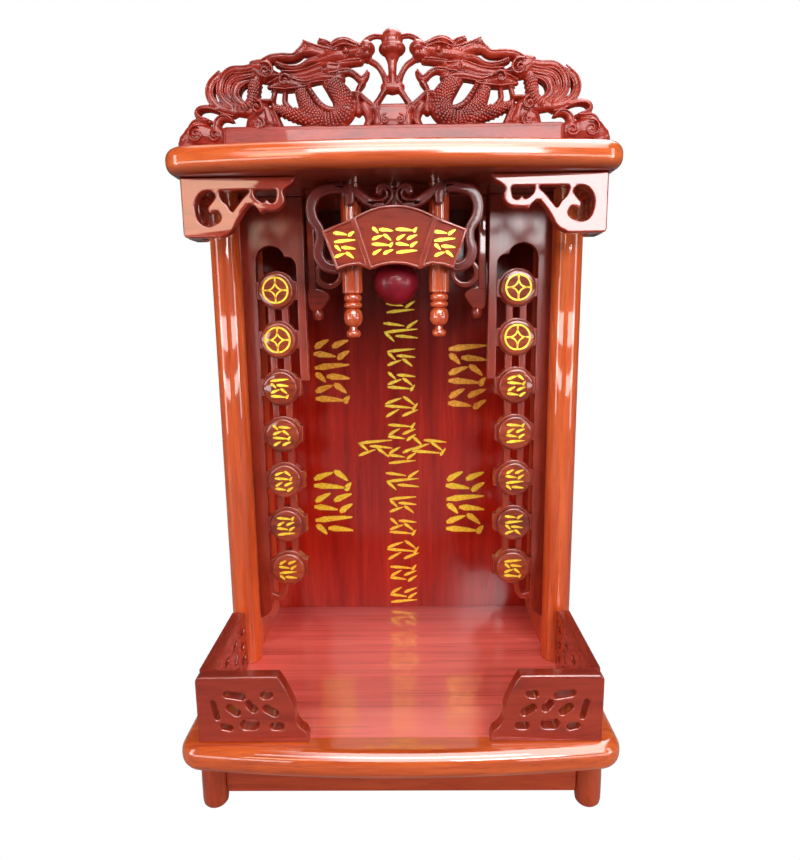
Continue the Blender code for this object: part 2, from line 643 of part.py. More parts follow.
# Crest: routes of the left half in millimetres from the middle and from the roof, with half widths
crest_routes = {
    "end cloud": [(-199.5, 3.5, 9.8), (-193, 6, 12.4), (-184, 5, 11.5)],
    "cloud foot": [(-181, 5, 8.5), (-172, 7.5, 10.4), (-163.5, 4.5, 8.2)],
    "cloud rise": [(-196, 16.5, 5.3), (-192.5, 20.5, 4.8), (-185.5, 21, 4), (-179, 22, 2.5)],
    "cloud tip": [(-170.5, 33, 3.8), (-180, 35, 3.3), (-188, 34, 3.2), (-191.5, 30, 2.9),
                  (-189, 25.5, 3.1), (-183.5, 22.5, 3.8)],
    "hook": [(-173, 14, 4.8), (-172, 20.5, 4.4), (-167, 25, 4), (-161.5, 25, 3.6), (-157.5, 22.5, 2.3)],
    "outer plume": [(-155, 30, 4.8), (-166.5, 33, 4.4), (-175, 40.5, 4.4), (-177.5, 49, 4.2),
                    (-175, 56.5, 4), (-169.5, 62.5, 3.4), (-165.5, 66.5, 2.3)],
    "top plume": [(-132, 71, 3.8), (-142.5, 69, 4), (-154, 68.5, 4), (-162, 63.5, 3.8),
                  (-166.5, 55.5, 3.8), (-167, 48, 3.8), (-163.5, 40.5, 3.8), (-156, 34, 4.4)],
    "middle plume": [(-134, 65, 2.9), (-144.5, 63.5, 3.1), (-153.5, 61, 3.1), (-159, 55, 3.1),
                     (-160, 48, 3.1), (-157, 42.5, 3.3), (-149.5, 35.5, 3.8)],
    "inner plume": [(-137, 59.5, 2.7), (-144, 57.5, 3.4), (-150, 53.5, 4.4), (-152.5, 47, 4.6),
                    (-150, 40.5, 4.4), (-143.5, 35.5, 4.2), (-137, 34, 4.2)],
    "plume base": [(-161, 32, 3.8), (-149.5, 31, 4.8), (-137, 30, 5.7)],
    "tail": [(-132, 59.5, 5.7), (-134.5, 51, 6.5), (-135.5, 43.5, 6.3), (-139, 36.5, 5.3),
             (-145.5, 32, 4.8)],
    "cloud crown": [(-134, 74, 4.4), (-128, 75, 4.4), (-120.5, 75, 4.8)],
    "cloud head": [(-130, 69, 6.7), (-123.5, 65, 8.6), (-116.5, 64.5, 6.2), (-110, 65, 2.3)],
    "cloud leaf": [(-119.5, 53.5, 2.5), (-112, 55, 5.7), (-103.5, 56, 7.8), (-94, 55, 5.4),
                   (-86, 54.5, 3.3), (-80.5, 55.5, 2.5)],
    "ridge": [(-126.5, 74, 3.8), (-117.5, 78.5, 4.8), (-106, 80, 4.8), (-94.5, 80, 4.6), (-88, 84.5, 4.8),
              (-84, 90, 3.3)],
    "rear horn": [(-84.5, 92.5, 2.5), (-77.5, 89.5, 3.4), (-67, 86, 3.8), (-56.5, 83.5, 4.4)],
    "nape": [(-85, 84.5, 4.3), (-77.5, 84.5, 4.8), (-67, 81.5, 4.4)],
    "front horn": [(-69, 93.5, 2.9), (-62, 91.5, 3.5), (-54.5, 86.5, 4.4)],
    "brow": [(-57.5, 87.5, 3.6), (-51.5, 91, 4.8), (-44, 92, 4.6), (-36.5, 89.5, 3.4), (-30.5, 87, 3.3)],
    "muzzle": [(-45, 81.5, 6.1), (-35.5, 84, 6.3), (-27, 85.5, 7.5), (-22.5, 87, 6.3)],
    "nostril": [(-32.5, 79, 3.8), (-24, 80, 4.8)],
    "trunk": [(-29.5, 90, 3.1), (-24, 95, 2.9), (-17, 98, 2.6), (-7.5, 97.5, 2.9)],
    "skull": [(-72, 76.5, 4.6), (-60.5, 78.5, 6.7), (-48, 79.5, 7.3)],
    "upper jaw": [(-52.5, 72, 4.2), (-42, 74, 3.6), (-30.5, 75, 3.3)],
    "jaw curl": [(-62, 68, 7.1), (-52.5, 68.5, 5.7)],
    "lower jaw": [(-52.5, 64.5, 4.6), (-43, 66, 3.3), (-36.5, 63.5, 3.3), (-30, 58.5, 3.8),
                  (-25.5, 61.5, 3.1), (-23.5, 65, 1.9)],
    "beard": [(-29, 55.5, 3.4), (-33, 50, 2.9), (-34.5, 42.5, 2.9), (-34, 35, 3.3), (-33.5, 28, 3.6)],
    "whisker": [(-21, 76, 2.9), (-13.5, 71, 2.8), (-8.5, 63, 2.9), (-6, 55, 3.4)],
    "mane high": [(-111, 73.5, 2.5), (-100.5, 70, 2.9), (-89, 70, 3.4), (-79.5, 75, 3.6), (-71, 76, 3.3)],
    "mane middle": [(-107, 65, 2.9), (-94.5, 63.5, 4.4), (-82.5, 65, 5), (-71, 68.5, 5.7),
                    (-59.5, 71, 6.5)],
    "mane low": [(-97.5, 59.5, 2.9), (-85, 57.5, 3.4), (-72, 60, 3.8), (-59.5, 60.5, 4),
                 (-49, 59.5, 3.6)],
    "neck": [(-61, 56.5, 7.7), (-54.5, 50, 10), (-48.5, 41.5, 11.1), (-47, 31, 11.9), (-54.5, 22.5, 10.3),
             (-67, 20.5, 9.1)],
    "belly": [(-81.5, 52, 2.7), (-76.5, 43.5, 3.4), (-70, 35, 4), (-62, 30.5, 4.2), (-53.5, 30, 3.8)],
    "coil": [(-90, 50, 5.7), (-86.5, 41.5, 7.3), (-81.5, 32, 8.8), (-72.5, 24.5, 9.4), (-63, 20.5, 8.6)],
    "haunch": [(-115, 33, 3.4), (-106, 30.5, 5.2), (-96.5, 27.5, 6.9), (-86, 25, 8), (-74.5, 22, 8.2)],
    "strap": [(-104.5, 47, 2.7), (-105, 39.5, 2.9), (-101.5, 34, 3.3)],
    "side strap": [(-114.5, 49, 2.5), (-116.5, 40.5, 2.7), (-115, 33, 3.3)],
    "tower top": [(-132, 40, 2.6), (-116.5, 40, 2.6)],
    "tower": [(-127.5, 31, 8.6), (-129, 23.5, 11), (-132, 17.5, 12.9)],
    "tower side": [(-123.5, 31, 5.7), (-120.5, 20.5, 7.7)],
    "tower leg": [(-116, 31, 3.3), (-113, 22.5, 3.4), (-110, 14, 4.2)],
    "foreleg": [(-38.5, 45, 2.9), (-32, 44.5, 2.9), (-25, 38.5, 3.3), (-19, 33.5, 3.4)],
    "paw": [(-28.5, 34, 5.2), (-24.5, 29, 5.4), (-23, 21.5, 4.4), (-26, 15, 4)],
    "claw": [(-19, 32, 4), (-15, 26, 3.4), (-14.5, 16.5, 3.8)],
    "pearl arm": [(-7.5, 49, 3.4), (-12.5, 41.5, 3.1), (-16.5, 35, 3.4), (-13.5, 29, 4.2)],
    "mound": [(-7.5, 23.5, 8), (0, 24.5, 9.4)],
    "mound low": [(-7.5, 17.5, 7.7), (0, 17.5, 8.6)],
    "bowl foot": [(0, 81.5, 8.1), (0, 75.5, 5.2)],
    "stem": [(0, 75.5, 4.8), (0, 64.5, 4), (0, 53, 5.2)],
    "trident": [(-6.5, 51.5, 5.4), (0, 50.5, 5.9)],
}
depth_share = {"tail": 0.80, "neck": 1.0, "belly": 0.92, "coil": 0.92, "haunch": 0.85, "skull": 0.95,
               "muzzle": 0.9, "nostril": 0.95, "brow": 0.90, "jaw curl": 0.9, "stem": 0.5, "trident": 0.6,
               "whisker": 0.5, "trunk": 0.5, "hook": 0.7, "tower": 0.9, "tower side": 0.8, "mound": 0.85,
               "mound low": 0.8, "end cloud": 0.9, "cloud foot": 0.85, "cloud head": 0.95, "cloud leaf": 0.9,
               "inner plume": 0.8, "strap": 0.5, "side strap": 0.5, "middle plume": 0.6}
crest_voxel = 0.0014
crest_triangles = 2300
pearl_radius = 0.0104
pearl_z = 0.1013
bowl_radius = 0.0128
bowl_z = 0.0935
ball_depth_share = 0.9
bar_half = 0.174
bar_height = 0.0212
foot_bar_half = 0.212
foot_bar_height = 0.0117
carving_rise = 5.7
stretch_x = crest_width / 0.424
stretch_z = crest_height / 0.1117


def swept(route, half_depth):
    line = smooth(route, 3)
    widest = max(half for _, _, half in line)
    ends = []
    for i, j in ((0, 1), (len(line) - 1, len(line) - 2)):
        x, z, half = line[i]
        run = hypot(x - line[j][0], z - line[j][1])
        ux, uz = (x - line[j][0]) / run, (z - line[j][1]) / run
        ends.append([(x + ux * half * a, z + uz * half * a, half * b)
                     for a, b in ((0.65, 0.75), (0.95, 0.30))])
    line = ends[0][::-1] + line + ends[1]
    curve = bpy.data.curves.new("stroke", "CURVE")
    curve.dimensions = "3D"
    curve.bevel_depth = 0.001
    curve.bevel_resolution = 2
    curve.use_fill_caps = True
    spline = curve.splines.new("POLY")
    spline.points.add(len(line) - 1)
    for point, (x, z, half) in zip(spline.points, line):
        point.co = (x * 0.001, 0, (z + carving_rise) * 0.001, 1)
        point.radius = half
    holder = bpy.data.objects.new("stroke", curve)
    cutters.objects.link(holder)
    mesh = baked(holder)
    bpy.data.objects.remove(holder, do_unlink=True)
    mesh.transform(Matrix.Diagonal((1, half_depth / (widest * 0.001), 1, 1)))
    return cleaned(mesh)


def ball(work, z, radius, squat):
    made = bmesh.ops.create_uvsphere(work, u_segments=16, v_segments=10, radius=radius)
    for vert in made["verts"]:
        vert.co.y *= ball_depth_share
        vert.co.z = z + vert.co.z * squat


crest_work = bmesh.new()
for name, route in crest_routes.items():
    stroke = swept(route, crest_depth / 2 * depth_share.get(name, 0.7))
    crest_work.from_mesh(stroke)
    crest_work.from_mesh(mirrored(stroke))
ball(crest_work, pearl_z, pearl_radius, 1.0)
ball(crest_work, bowl_z, bowl_radius, 0.66)
for half, top in ((bar_half, bar_height), (foot_bar_half, foot_bar_height)):
    crest_work.from_mesh(box(-half, half, -crest_depth / 2, crest_depth / 2, -0.004, top))
bmesh.ops.recalc_face_normals(crest_work, faces=crest_work.faces)
crest_parts = bpy.data.meshes.new("crest parts")
crest_work.to_mesh(crest_parts)
crest_work.free()
crest_holder = bpy.data.objects.new("crest parts", crest_parts)
cutters.objects.link(crest_holder)
fuse = crest_holder.modifiers.new("fuse", "REMESH")
fuse.mode = "VOXEL"
fuse.voxel_size = crest_voxel
fuse.adaptivity = 0
fused = baked(crest_holder)
bpy.data.objects.remove(crest_holder, do_unlink=True)
level = bmesh.new()
level.from_mesh(fused)
bmesh.ops.bisect_plane(level, geom=level.verts[:] + level.edges[:] + level.faces[:], dist=0.00001,
                       plane_co=(0, 0, 0), plane_no=(0, 0, -1), clear_outer=True)
bmesh.ops.holes_fill(level, edges=[edge for edge in level.edges if edge.is_boundary], sides=0)
bmesh.ops.triangulate(level, faces=[face for face in level.faces if len(face.verts) > 4])
level.to_mesh(fused)
level.free()
thin_holder = bpy.data.objects.new("crest fused", fused)
cutters.objects.link(thin_holder)
thin = thin_holder.modifiers.new("thin", "DECIMATE")
thin.decimate_type = "COLLAPSE"
thin.ratio = crest_triangles / max(1, 2 * len(fused.polygons))
thin.use_symmetry = True
thin.symmetry_axis = "X"
crest_mesh = baked(thin_holder)
bpy.data.objects.remove(thin_holder, do_unlink=True)
crest_mesh.transform(Matrix.Diagonal((stretch_x, 1, stretch_z, 1)))
for vert in crest_mesh.vertices:
    if vert.co.z < 0.0003:
        vert.co.z = 0
keep("crest", crest_mesh, red_wood, (0, crest_y, roof_top_z + clearance))

triangles = 0
for part in model.objects:
    count = sum(len(face.vertices) - 2 for face in part.data.polygons)
    triangles += count
    print(part.name, count)
print("pieces", len(model.objects), "triangles", triangles)
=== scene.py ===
# %% [markdown]
# # An ancestor shrine niche in lacquered wood
# The shrine is a small tabletop altar: a thick base with rails, two posts, a niche with a dark panel
# and two rows of round buttons, a roof board and a carved crest of two dragons.
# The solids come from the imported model. Here they get their soft edges, carving and lacquer.

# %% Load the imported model
from math import atan2, cos, hypot, pi, radians, sin
import bpy
from mathutils import Matrix, Vector


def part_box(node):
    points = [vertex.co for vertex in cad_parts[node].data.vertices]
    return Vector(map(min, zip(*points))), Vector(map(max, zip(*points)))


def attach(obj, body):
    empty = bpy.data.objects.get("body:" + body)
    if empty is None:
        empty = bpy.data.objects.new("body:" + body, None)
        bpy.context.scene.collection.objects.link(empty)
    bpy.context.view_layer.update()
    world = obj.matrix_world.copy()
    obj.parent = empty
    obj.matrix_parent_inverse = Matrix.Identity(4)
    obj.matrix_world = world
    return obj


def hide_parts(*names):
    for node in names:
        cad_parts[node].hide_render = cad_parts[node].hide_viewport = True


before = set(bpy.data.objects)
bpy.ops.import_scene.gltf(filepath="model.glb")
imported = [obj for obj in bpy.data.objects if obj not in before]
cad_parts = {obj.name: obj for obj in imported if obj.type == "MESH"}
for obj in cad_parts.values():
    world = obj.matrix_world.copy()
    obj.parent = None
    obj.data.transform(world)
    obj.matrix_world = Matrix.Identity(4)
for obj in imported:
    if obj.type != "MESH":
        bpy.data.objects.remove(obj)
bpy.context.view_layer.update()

# %% [markdown]
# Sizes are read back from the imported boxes, so that each dressed piece sits where its solid does.
# The few sizes that a box doesn't show, such as the bow of a front edge, are named here.

# %% Places and sizes
clearance = 0.0003
weld_gap = 0.00001
base_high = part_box("base_board")[1]
roof_low, roof_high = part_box("roof_board")
floor_low, floor_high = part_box("floor_panel")
floor_z = base_high[2]
roof_z = roof_low[2]
roof_top_z = roof_high[2]
wall_top = roof_z - clearance
base_bow = 0.016
roof_bow = 0.021
corner_radius = 0.026
nose_share = 0.44
disc_count = 7
sides = (("left", -1), ("right", 1))
print("floor", floor_z, "roof", roof_z, "top of the roof", roof_top_z)

# %% [markdown]
# The camera stands a little above the floor of the niche and looks slightly down, close to the shrine,
# which is why the roof and the base spread towards the viewer. Its place and its small tilt were fitted
# to corners of the posts, boards and discs. A wide lens at this short distance gives the same spread.

# %% Camera
camera_place = Vector((0.0124, -0.7561, 0.5373))
camera_turn = -0.0134
camera_pitch = -0.18
camera_roll = -0.0124
focal_pixels = 645.78
picture_height = 860
flat_reach = cos(camera_pitch)
forward = Vector((sin(camera_turn) * flat_reach, cos(camera_turn) * flat_reach, sin(camera_pitch)))
level = Vector((cos(camera_turn), -sin(camera_turn), 0))
upright = level.cross(forward)
right = cos(camera_roll) * level + sin(camera_roll) * upright
above = -sin(camera_roll) * level + cos(camera_roll) * upright
camera_data = bpy.data.cameras.new("view")
camera_data.sensor_width = 36
camera_data.lens = focal_pixels * camera_data.sensor_width / picture_height
camera = bpy.data.objects.new("view", camera_data)
bpy.context.scene.collection.objects.link(camera)
axes = Matrix((right, above, -forward)).transposed()
camera.matrix_world = Matrix.Translation(camera_place) @ axes.to_4x4()
bpy.context.scene.camera = camera
print("lens", round(camera_data.lens, 2), "mm")

# %% [markdown]
# Lacquer and light are both built from a few kinds of node. Each kind gets one short function here: it
# adds the node, sets its values, links what feeds it, and hands back the output that the next one needs.


# %% Nodes for finishes and light
def mapped(tree, value, start, end, low=0, high=1, kind="LINEAR"):
    made = tree.nodes.new("ShaderNodeMapRange")
    made.interpolation_type = kind
    for name, amount in (("From Min", start), ("From Max", end), ("To Min", low), ("To Max", high)):
        made.inputs[name].default_value = amount
    tree.links.new(value, made.inputs["Value"])
    return made.outputs["Result"]


def product(tree, first, second):
    made = tree.nodes.new("ShaderNodeMath")
    made.operation = "MULTIPLY"
    tree.links.new(first, made.inputs[0])
    tree.links.new(second, made.inputs[1])
    return made.outputs["Value"]


def mixed_shader(tree, share, first, second):
    made = tree.nodes.new("ShaderNodeMixShader")
    tree.links.new(share, made.inputs["Fac"])
    tree.links.new(first, made.inputs[1])
    tree.links.new(second, made.inputs[2])
    return made.outputs["Shader"]


def noise(tree, vector, scale, detail):
    made = tree.nodes.new("ShaderNodeTexNoise")
    made.inputs["Scale"].default_value = scale
    made.inputs["Detail"].default_value = detail
    tree.links.new(vector, made.inputs["Vector"])
    return made


def ramp(tree, value, stops):
    made = tree.nodes.new("ShaderNodeValToRGB")
    elements = made.color_ramp.elements
    for number, (position, colour) in enumerate(stops):
        stop = elements[number] if number < 2 else elements.new(position)
        stop.position = position
        stop.color = (*colour, 1)
    tree.links.new(value, made.inputs["Fac"])
    return made.outputs["Color"]


def multiplied(tree, first, second, share):
    made = tree.nodes.new("ShaderNodeMix")
    made.data_type = "RGBA"
    made.blend_type = "MULTIPLY"
    made.inputs["Factor"].default_value = share
    tree.links.new(first, made.inputs["A"])
    tree.links.new(second, made.inputs["B"])
    return made.outputs["Result"]


def bumped(tree, height, strength, distance):
    made = tree.nodes.new("ShaderNodeBump")
    made.inputs["Strength"].default_value = strength
    made.inputs["Distance"].default_value = distance
    tree.links.new(height, made.inputs["Height"])
    return made.outputs["Normal"]


def started(name):
    made = bpy.data.materials.new(name)
    made.use_nodes = True
    tree = made.node_tree
    place = tree.nodes.new("ShaderNodeTexCoord")
    return made, tree, tree.nodes["Principled BSDF"], place.outputs["Object"]


print("node kinds ready for", bpy.context.scene.name)

# %% [markdown]
# The shrine stands on plain white, which the camera sees as pure white while the wood sees a grey floor
# and a very weak sky, so that the lacquer isn't washed out. What a viewer reads as shine is the mirror
# image of something bright. Only mirror rays see a bright patch of sky in front and above, and it gives
# the pale tops of the boards. It fades out to the left, to the far right and towards the back.


# %% Floor and sky
def clear_selection():
    if bpy.context.object and bpy.context.object.mode != "OBJECT":
        bpy.ops.object.mode_set(mode="OBJECT")
    bpy.ops.object.select_all(action="DESELECT")


clear_selection()
bpy.ops.mesh.primitive_plane_add(size=12, location=(0, 1.5, 0))
floor = bpy.context.object
floor.name = "studio_floor"
studio_white = bpy.data.materials.new("studio white")
studio_white.use_nodes = True
tree = studio_white.node_tree
paint = tree.nodes["Principled BSDF"]
paint.inputs["Base Color"].default_value = (0.30, 0.30, 0.30, 1)
paint.inputs["Roughness"].default_value = 0.9
bright = tree.nodes.new("ShaderNodeEmission")
bright.inputs["Strength"].default_value = 1.0
eye = tree.nodes.new("ShaderNodeLightPath")
surface = mixed_shader(tree, eye.outputs["Is Camera Ray"], paint.outputs["BSDF"], bright.outputs["Emission"])
tree.links.new(surface, tree.nodes["Material Output"].inputs["Surface"])
floor.data.materials.append(studio_white)

sky_lean = 0.35
sky_foot = (0.11, 0.18)
sky_left = (-0.28, -0.10)
sky_end = (0.45, 0.65)
sky_strength = 16
world = bpy.data.worlds.new("studio")
world.use_nodes = True
bpy.context.scene.world = world
tree = world.node_tree
glow = tree.nodes["Background"]
glow.inputs["Color"].default_value = (0.94, 0.97, 1.0, 1)
glow.inputs["Strength"].default_value = 0.06
paper = tree.nodes.new("ShaderNodeBackground")
paper.inputs["Color"].default_value = (1, 1, 1, 1)
eye = tree.nodes.new("ShaderNodeLightPath")
aim = tree.nodes.new("ShaderNodeTexCoord")
split = tree.nodes.new("ShaderNodeSeparateXYZ")
tree.links.new(aim.outputs["Generated"], split.inputs["Vector"])
lean = tree.nodes.new("ShaderNodeMath")
lean.operation = "MULTIPLY_ADD"
lean.inputs[1].default_value = sky_lean
tree.links.new(split.outputs["Y"], lean.inputs[0])
tree.links.new(split.outputs["Z"], lean.inputs[2])
cover = product(tree, mapped(tree, lean.outputs["Value"], *sky_foot, kind="SMOOTHSTEP"),
                mapped(tree, split.outputs["X"], *sky_left, 0, sky_strength, "SMOOTHSTEP"))
for axis in ("X", "Y"):
    cover = product(tree, cover, mapped(tree, split.outputs[axis], *sky_end, 1, 0, "SMOOTHSTEP"))
sky = tree.nodes.new("ShaderNodeBackground")
tree.links.new(cover, sky.inputs["Strength"])
both = tree.nodes.new("ShaderNodeAddShader")
tree.links.new(glow.outputs["Background"], both.inputs[0])
tree.links.new(sky.outputs["Background"], both.inputs[1])
seen = mixed_shader(tree, eye.outputs["Is Camera Ray"], glow.outputs["Background"],
                    paper.outputs["Background"])
shine = mixed_shader(tree, eye.outputs["Is Glossy Ray"], seen, both.outputs["Shader"])
tree.links.new(shine, tree.nodes["World Output"].inputs["Surface"])
bpy.context.scene.view_settings.view_transform = "Standard"
print("world", world.name, "floor", floor.name)

# %% [markdown]
# The light comes from large soft boxes: one in front, one over the roof and one at each side. Two windows
# further out show in the faces of the brackets, the left one in a warmer tone. The low windows at the
# sides and the boxes before the roof edge only show in the lacquer and don't light the wood. They give
# each post its bright streaks, and the roof board the white line along its nose.


# %% Lights
def soft_box(name, place, target, width, height, power, lights_wood=True):
    light = bpy.data.lights.new(name, "AREA")
    light.shape = "RECTANGLE"
    light.size = width
    light.size_y = height
    light.energy = power
    lamp = bpy.data.objects.new(name, light)
    lamp.location = place
    lamp.rotation_euler = (Vector(target) - Vector(place)).to_track_quat("-Z", "Y").to_euler()
    lamp.visible_diffuse = lights_wood
    bpy.context.scene.collection.objects.link(lamp)
    return lamp


side_reach = 1.5
window_power = 80
soft_box("front box", (-0.1, -1.4, 1.9), (0, 0, 0.45), 1.6, 0.5, 15)
soft_box("roof box", (0.05, 0.45, 1.75), (0, 0.1, 0.7), 1.5, 1.1, 9)
soft_box("left box", (-side_reach, -0.8, 0.7), (0, 0, 0.4), 0.4, 1.2, 12)
soft_box("right box", (side_reach, -0.8, 0.7), (0, 0, 0.4), 0.4, 1.2, 12)
for name, z, height in (("high", 0.465, 0.13), ("low", 0.25, 0.08)):
    for side, sign in sides:
        soft_box(name + " window " + side, (sign * side_reach, -1.4, z), (sign * 0.9, 0, z), 2.0, height,
                 window_power * height, False)
soft_box("right window", (0.50, -1.5, 0.88), (0.50, 0, 0.88), 0.56, 0.28, 12)
warm = soft_box("left window", (-0.62, -1.5, 0.90), (-0.62, 0, 0.90), 0.34, 0.26, 3.6)
warm.data.color = (1.0, 0.72, 0.50)
soft_box("roof edge box", (0.075, -0.60, 0.865), (0.075, -0.18, 0.70), 0.59, 0.14, 5.4, False)
soft_box("roof edge box left", (-0.32, -0.60, 0.865), (-0.30, -0.18, 0.70), 0.20, 0.14, 0.45, False)
print("lights", [light.name for light in bpy.data.lights])

# %% [markdown]
# The wood is a reddish hardwood under clear lacquer. Seen close, the colour runs in long streaks along
# the grain, with wider darker and lighter zones, and the lacquer over it is smooth and mirror-like.
# Two noises stretched along the grain give the streaks and the zones, a third one gives small dark pores,
# and a coat layer gives the shine. The carved pieces are redder and darker than the orange boards.


# %% Lacquered wood
def wood(name, tones, along, streak, stretch, rough, coat, depth=0.05, polish=0.04):
    made, tree, shader, place = started(name)
    shader.inputs["Coat Weight"].default_value = coat
    shader.inputs["Coat Roughness"].default_value = polish
    shader.inputs["Specular IOR Level"].default_value = 0.08
    squeeze = tree.nodes.new("ShaderNodeMapping")
    slow = 1 / stretch
    squeeze.inputs["Scale"].default_value = {"X": (slow, 1, 1), "Y": (1, slow, 1), "Z": (1, 1, slow)}[along]
    tree.links.new(place, squeeze.inputs["Vector"])
    grain = squeeze.outputs["Vector"]
    streaks = noise(tree, grain, streak, 6)
    streaks.inputs["Roughness"].default_value = 0.62
    streaks.inputs["Distortion"].default_value = 0.35
    zones = noise(tree, grain, streak / 7, 3)
    pores = noise(tree, grain, streak * 5, 2)
    blend = tree.nodes.new("ShaderNodeMix")
    blend.inputs["Factor"].default_value = 0.45
    tree.links.new(streaks.outputs["Fac"], blend.inputs["A"])
    tree.links.new(zones.outputs["Fac"], blend.inputs["B"])
    dark, middle, light = tones
    colour = ramp(tree, blend.outputs["Result"], ((0.36, dark), (0.66, light), (0.50, middle)))
    fleck = ramp(tree, pores.outputs["Fac"], ((0.30, (0.55, 0.55, 0.55)), (0.44, (1, 1, 1))))
    tree.links.new(multiplied(tree, colour, fleck, 0.5), shader.inputs["Base Color"])
    satin = mapped(tree, streaks.outputs["Fac"], 0, 1, rough - 0.08, rough + 0.10)
    tree.links.new(satin, shader.inputs["Roughness"])
    tree.links.new(bumped(tree, streaks.outputs["Fac"], depth, 0.0006), shader.inputs["Normal"])
    return made


orange_tones = ((0.36, 0.045, 0.010), (0.58, 0.090, 0.017), (0.74, 0.15, 0.028))
post_tones = ((0.36, 0.045, 0.010), (0.56, 0.080, 0.016), (0.72, 0.14, 0.028))
red_tones = ((0.20, 0.016, 0.007), (0.29, 0.026, 0.011), (0.36, 0.038, 0.015))
plaque_tones = ((0.20, 0.015, 0.007), (0.25, 0.024, 0.010), (0.31, 0.037, 0.013))
scroll_tones = ((0.09, 0.008, 0.007), (0.13, 0.012, 0.010), (0.18, 0.018, 0.013))
# Painted shade: the apron and foot tones are darker copies of the orange tones, for the low front parts that
# get less light.
apron_shade_tones = ((0.28, 0.024, 0.006), (0.42, 0.045, 0.010), (0.52, 0.075, 0.016))
foot_shade_tones = ((0.26, 0.022, 0.006), (0.38, 0.042, 0.010), (0.48, 0.070, 0.016))
wall_tones = ((0.34, 0.034, 0.010), (0.56, 0.075, 0.020), (0.70, 0.12, 0.032))
# The floor tones are the floor's red lightened to pale pink: partly its own colour, partly a painted sheen
# for the glossy haze on the floor panel.
floor_sheen_tones = ((0.62, 0.080, 0.060), (0.92, 0.17, 0.13), (1.0, 0.23, 0.18))
button_tones = ((0.16, 0.018, 0.008), (0.30, 0.040, 0.016), (0.42, 0.080, 0.032))
panel_tones = ((0.42, 0.014, 0.006), (0.66, 0.030, 0.012), (0.92, 0.060, 0.02))
hanging_tones = ((0.28, 0.026, 0.008), (0.47, 0.060, 0.016), (0.66, 0.13, 0.035))
crest_tones = ((0.15, 0.010, 0.005), (0.28, 0.021, 0.010), (0.38, 0.038, 0.017))
board_wood = wood("orange board lacquer", orange_tones, "X", 120, 18, 0.34, 1.0, 0.04)
post_wood = wood("orange post lacquer", post_tones, "Z", 120, 18, 0.34, 0.9, 0.04)
carved_wood = wood("carved red lacquer", red_tones, "X", 90, 10, 0.34, 0.8)
plaque_wood = wood("plaque lacquer", plaque_tones, "X", 60, 8, 0.34, 0.8)
scroll_wood = wood("scroll lacquer", scroll_tones, "Z", 60, 8, 0.34, 0.45, 0.05, 0.10)
apron_shade_wood = wood("apron lacquer with painted shade", apron_shade_tones, "X", 90, 14, 0.34, 0.9)
foot_shade_wood = wood("foot lacquer with painted shade", foot_shade_tones, "Z", 90, 8, 0.34, 0.9)
wall_wood = wood("wall lacquer", wall_tones, "Z", 80, 14, 0.30, 0.8, 0.04, 0.08)
strip_wood = wood("red strip lacquer", red_tones, "Z", 90, 10, 0.34, 0.8, 0.05, 0.20)
rail_side_wood = wood("side rail lacquer", red_tones, "Y", 120, 6, 0.26, 0.9)
floor_lacquer_sheen_and_shade = wood("floor lacquer with painted sheen and shade", floor_sheen_tones, "X", 62, 40, 0.22, 0.9, 0.03, 0.10)
button_wood = wood("button lacquer", button_tones, "X", 160, 5, 0.34, 0.7, 0.10)
panel_lacquer_and_shade = wood("panel lacquer with painted light and shade", panel_tones, "Z", 80, 16, 0.24, 0.8, 0.03, 0.12)
roof_lacquer_and_shade = wood("roof lacquer with painted shade", orange_tones, "X", 80, 18, 0.34, 1.0, 0.03, 0.11)
hanging_wood = wood("hanging post lacquer", hanging_tones, "Z", 150, 12, 0.26, 0.9)
crest_wood = wood("crest lacquer", crest_tones, "X", 110, 4, 0.40, 0.55, 0.04)
crest_wood.node_tree.nodes["Principled BSDF"].inputs["Coat IOR"].default_value = 1.33
print("woods", board_wood.name, post_wood.name, carved_wood.name)

# %% [markdown]
# Three of the boards carry painted light and shade in their colour. The panel behind the marks is
# painted nearly black at the top, as shade under the roof, and warms to red near the floor, as painted
# light from the floor. The roof board gets painted shade on its underside, and the floor panel painted
# shade towards the back. A ramp along one axis multiplies the streaks of each.


# %% Boards with painted light and shade
# Multiplies a material's colour by a ramp along one axis, to paint light and shade into it.
def paint_shade_along(made, axis, start, end, stops):
    tree = made.node_tree
    shader = tree.nodes["Principled BSDF"]
    source = shader.inputs["Base Color"].links[0].from_socket
    place = tree.nodes.new("ShaderNodeTexCoord")
    split = tree.nodes.new("ShaderNodeSeparateXYZ")
    tree.links.new(place.outputs["Object"], split.inputs["Vector"])
    shade = ramp(tree, mapped(tree, split.outputs[axis], start, end), stops)
    tree.links.new(multiplied(tree, source, shade, 1), shader.inputs["Base Color"])


full = (1, 1, 1)
painted_shade_depth = 0.11
# Painted shade at the top of the panel and painted light near the floor; painted shade under the roof board
# and at the back of the floor panel.
paint_shade_along(panel_lacquer_and_shade, "Z", floor_z, roof_z,
       ((0, (0.55, 0.50, 0.55)), (0.90, (0.10, 0.14, 0.16)), (0.50, (0.62, 0.42, 0.40))))
paint_shade_along(roof_lacquer_and_shade, "Z", roof_z - 0.001, roof_z + 0.009, ((0, (0.26, 0.15, 0.12)), (1, full)))
paint_shade_along(floor_lacquer_sheen_and_shade, "Y", floor_high[1] - painted_shade_depth, floor_high[1], ((0, full), (1, (0.50, 0.42, 0.55))))
print("paint_shade_along", panel_lacquer_and_shade.name, roof_lacquer_and_shade.name, floor_lacquer_sheen_and_shade.name)

# %% [markdown]
# The marks are painted in thick gold lacquer that stands a little off the wood. Its yellow is slightly
# uneven, and it keeps a soft metal sheen. The lamp is a crimson ball with a clear, softly glossy skin.


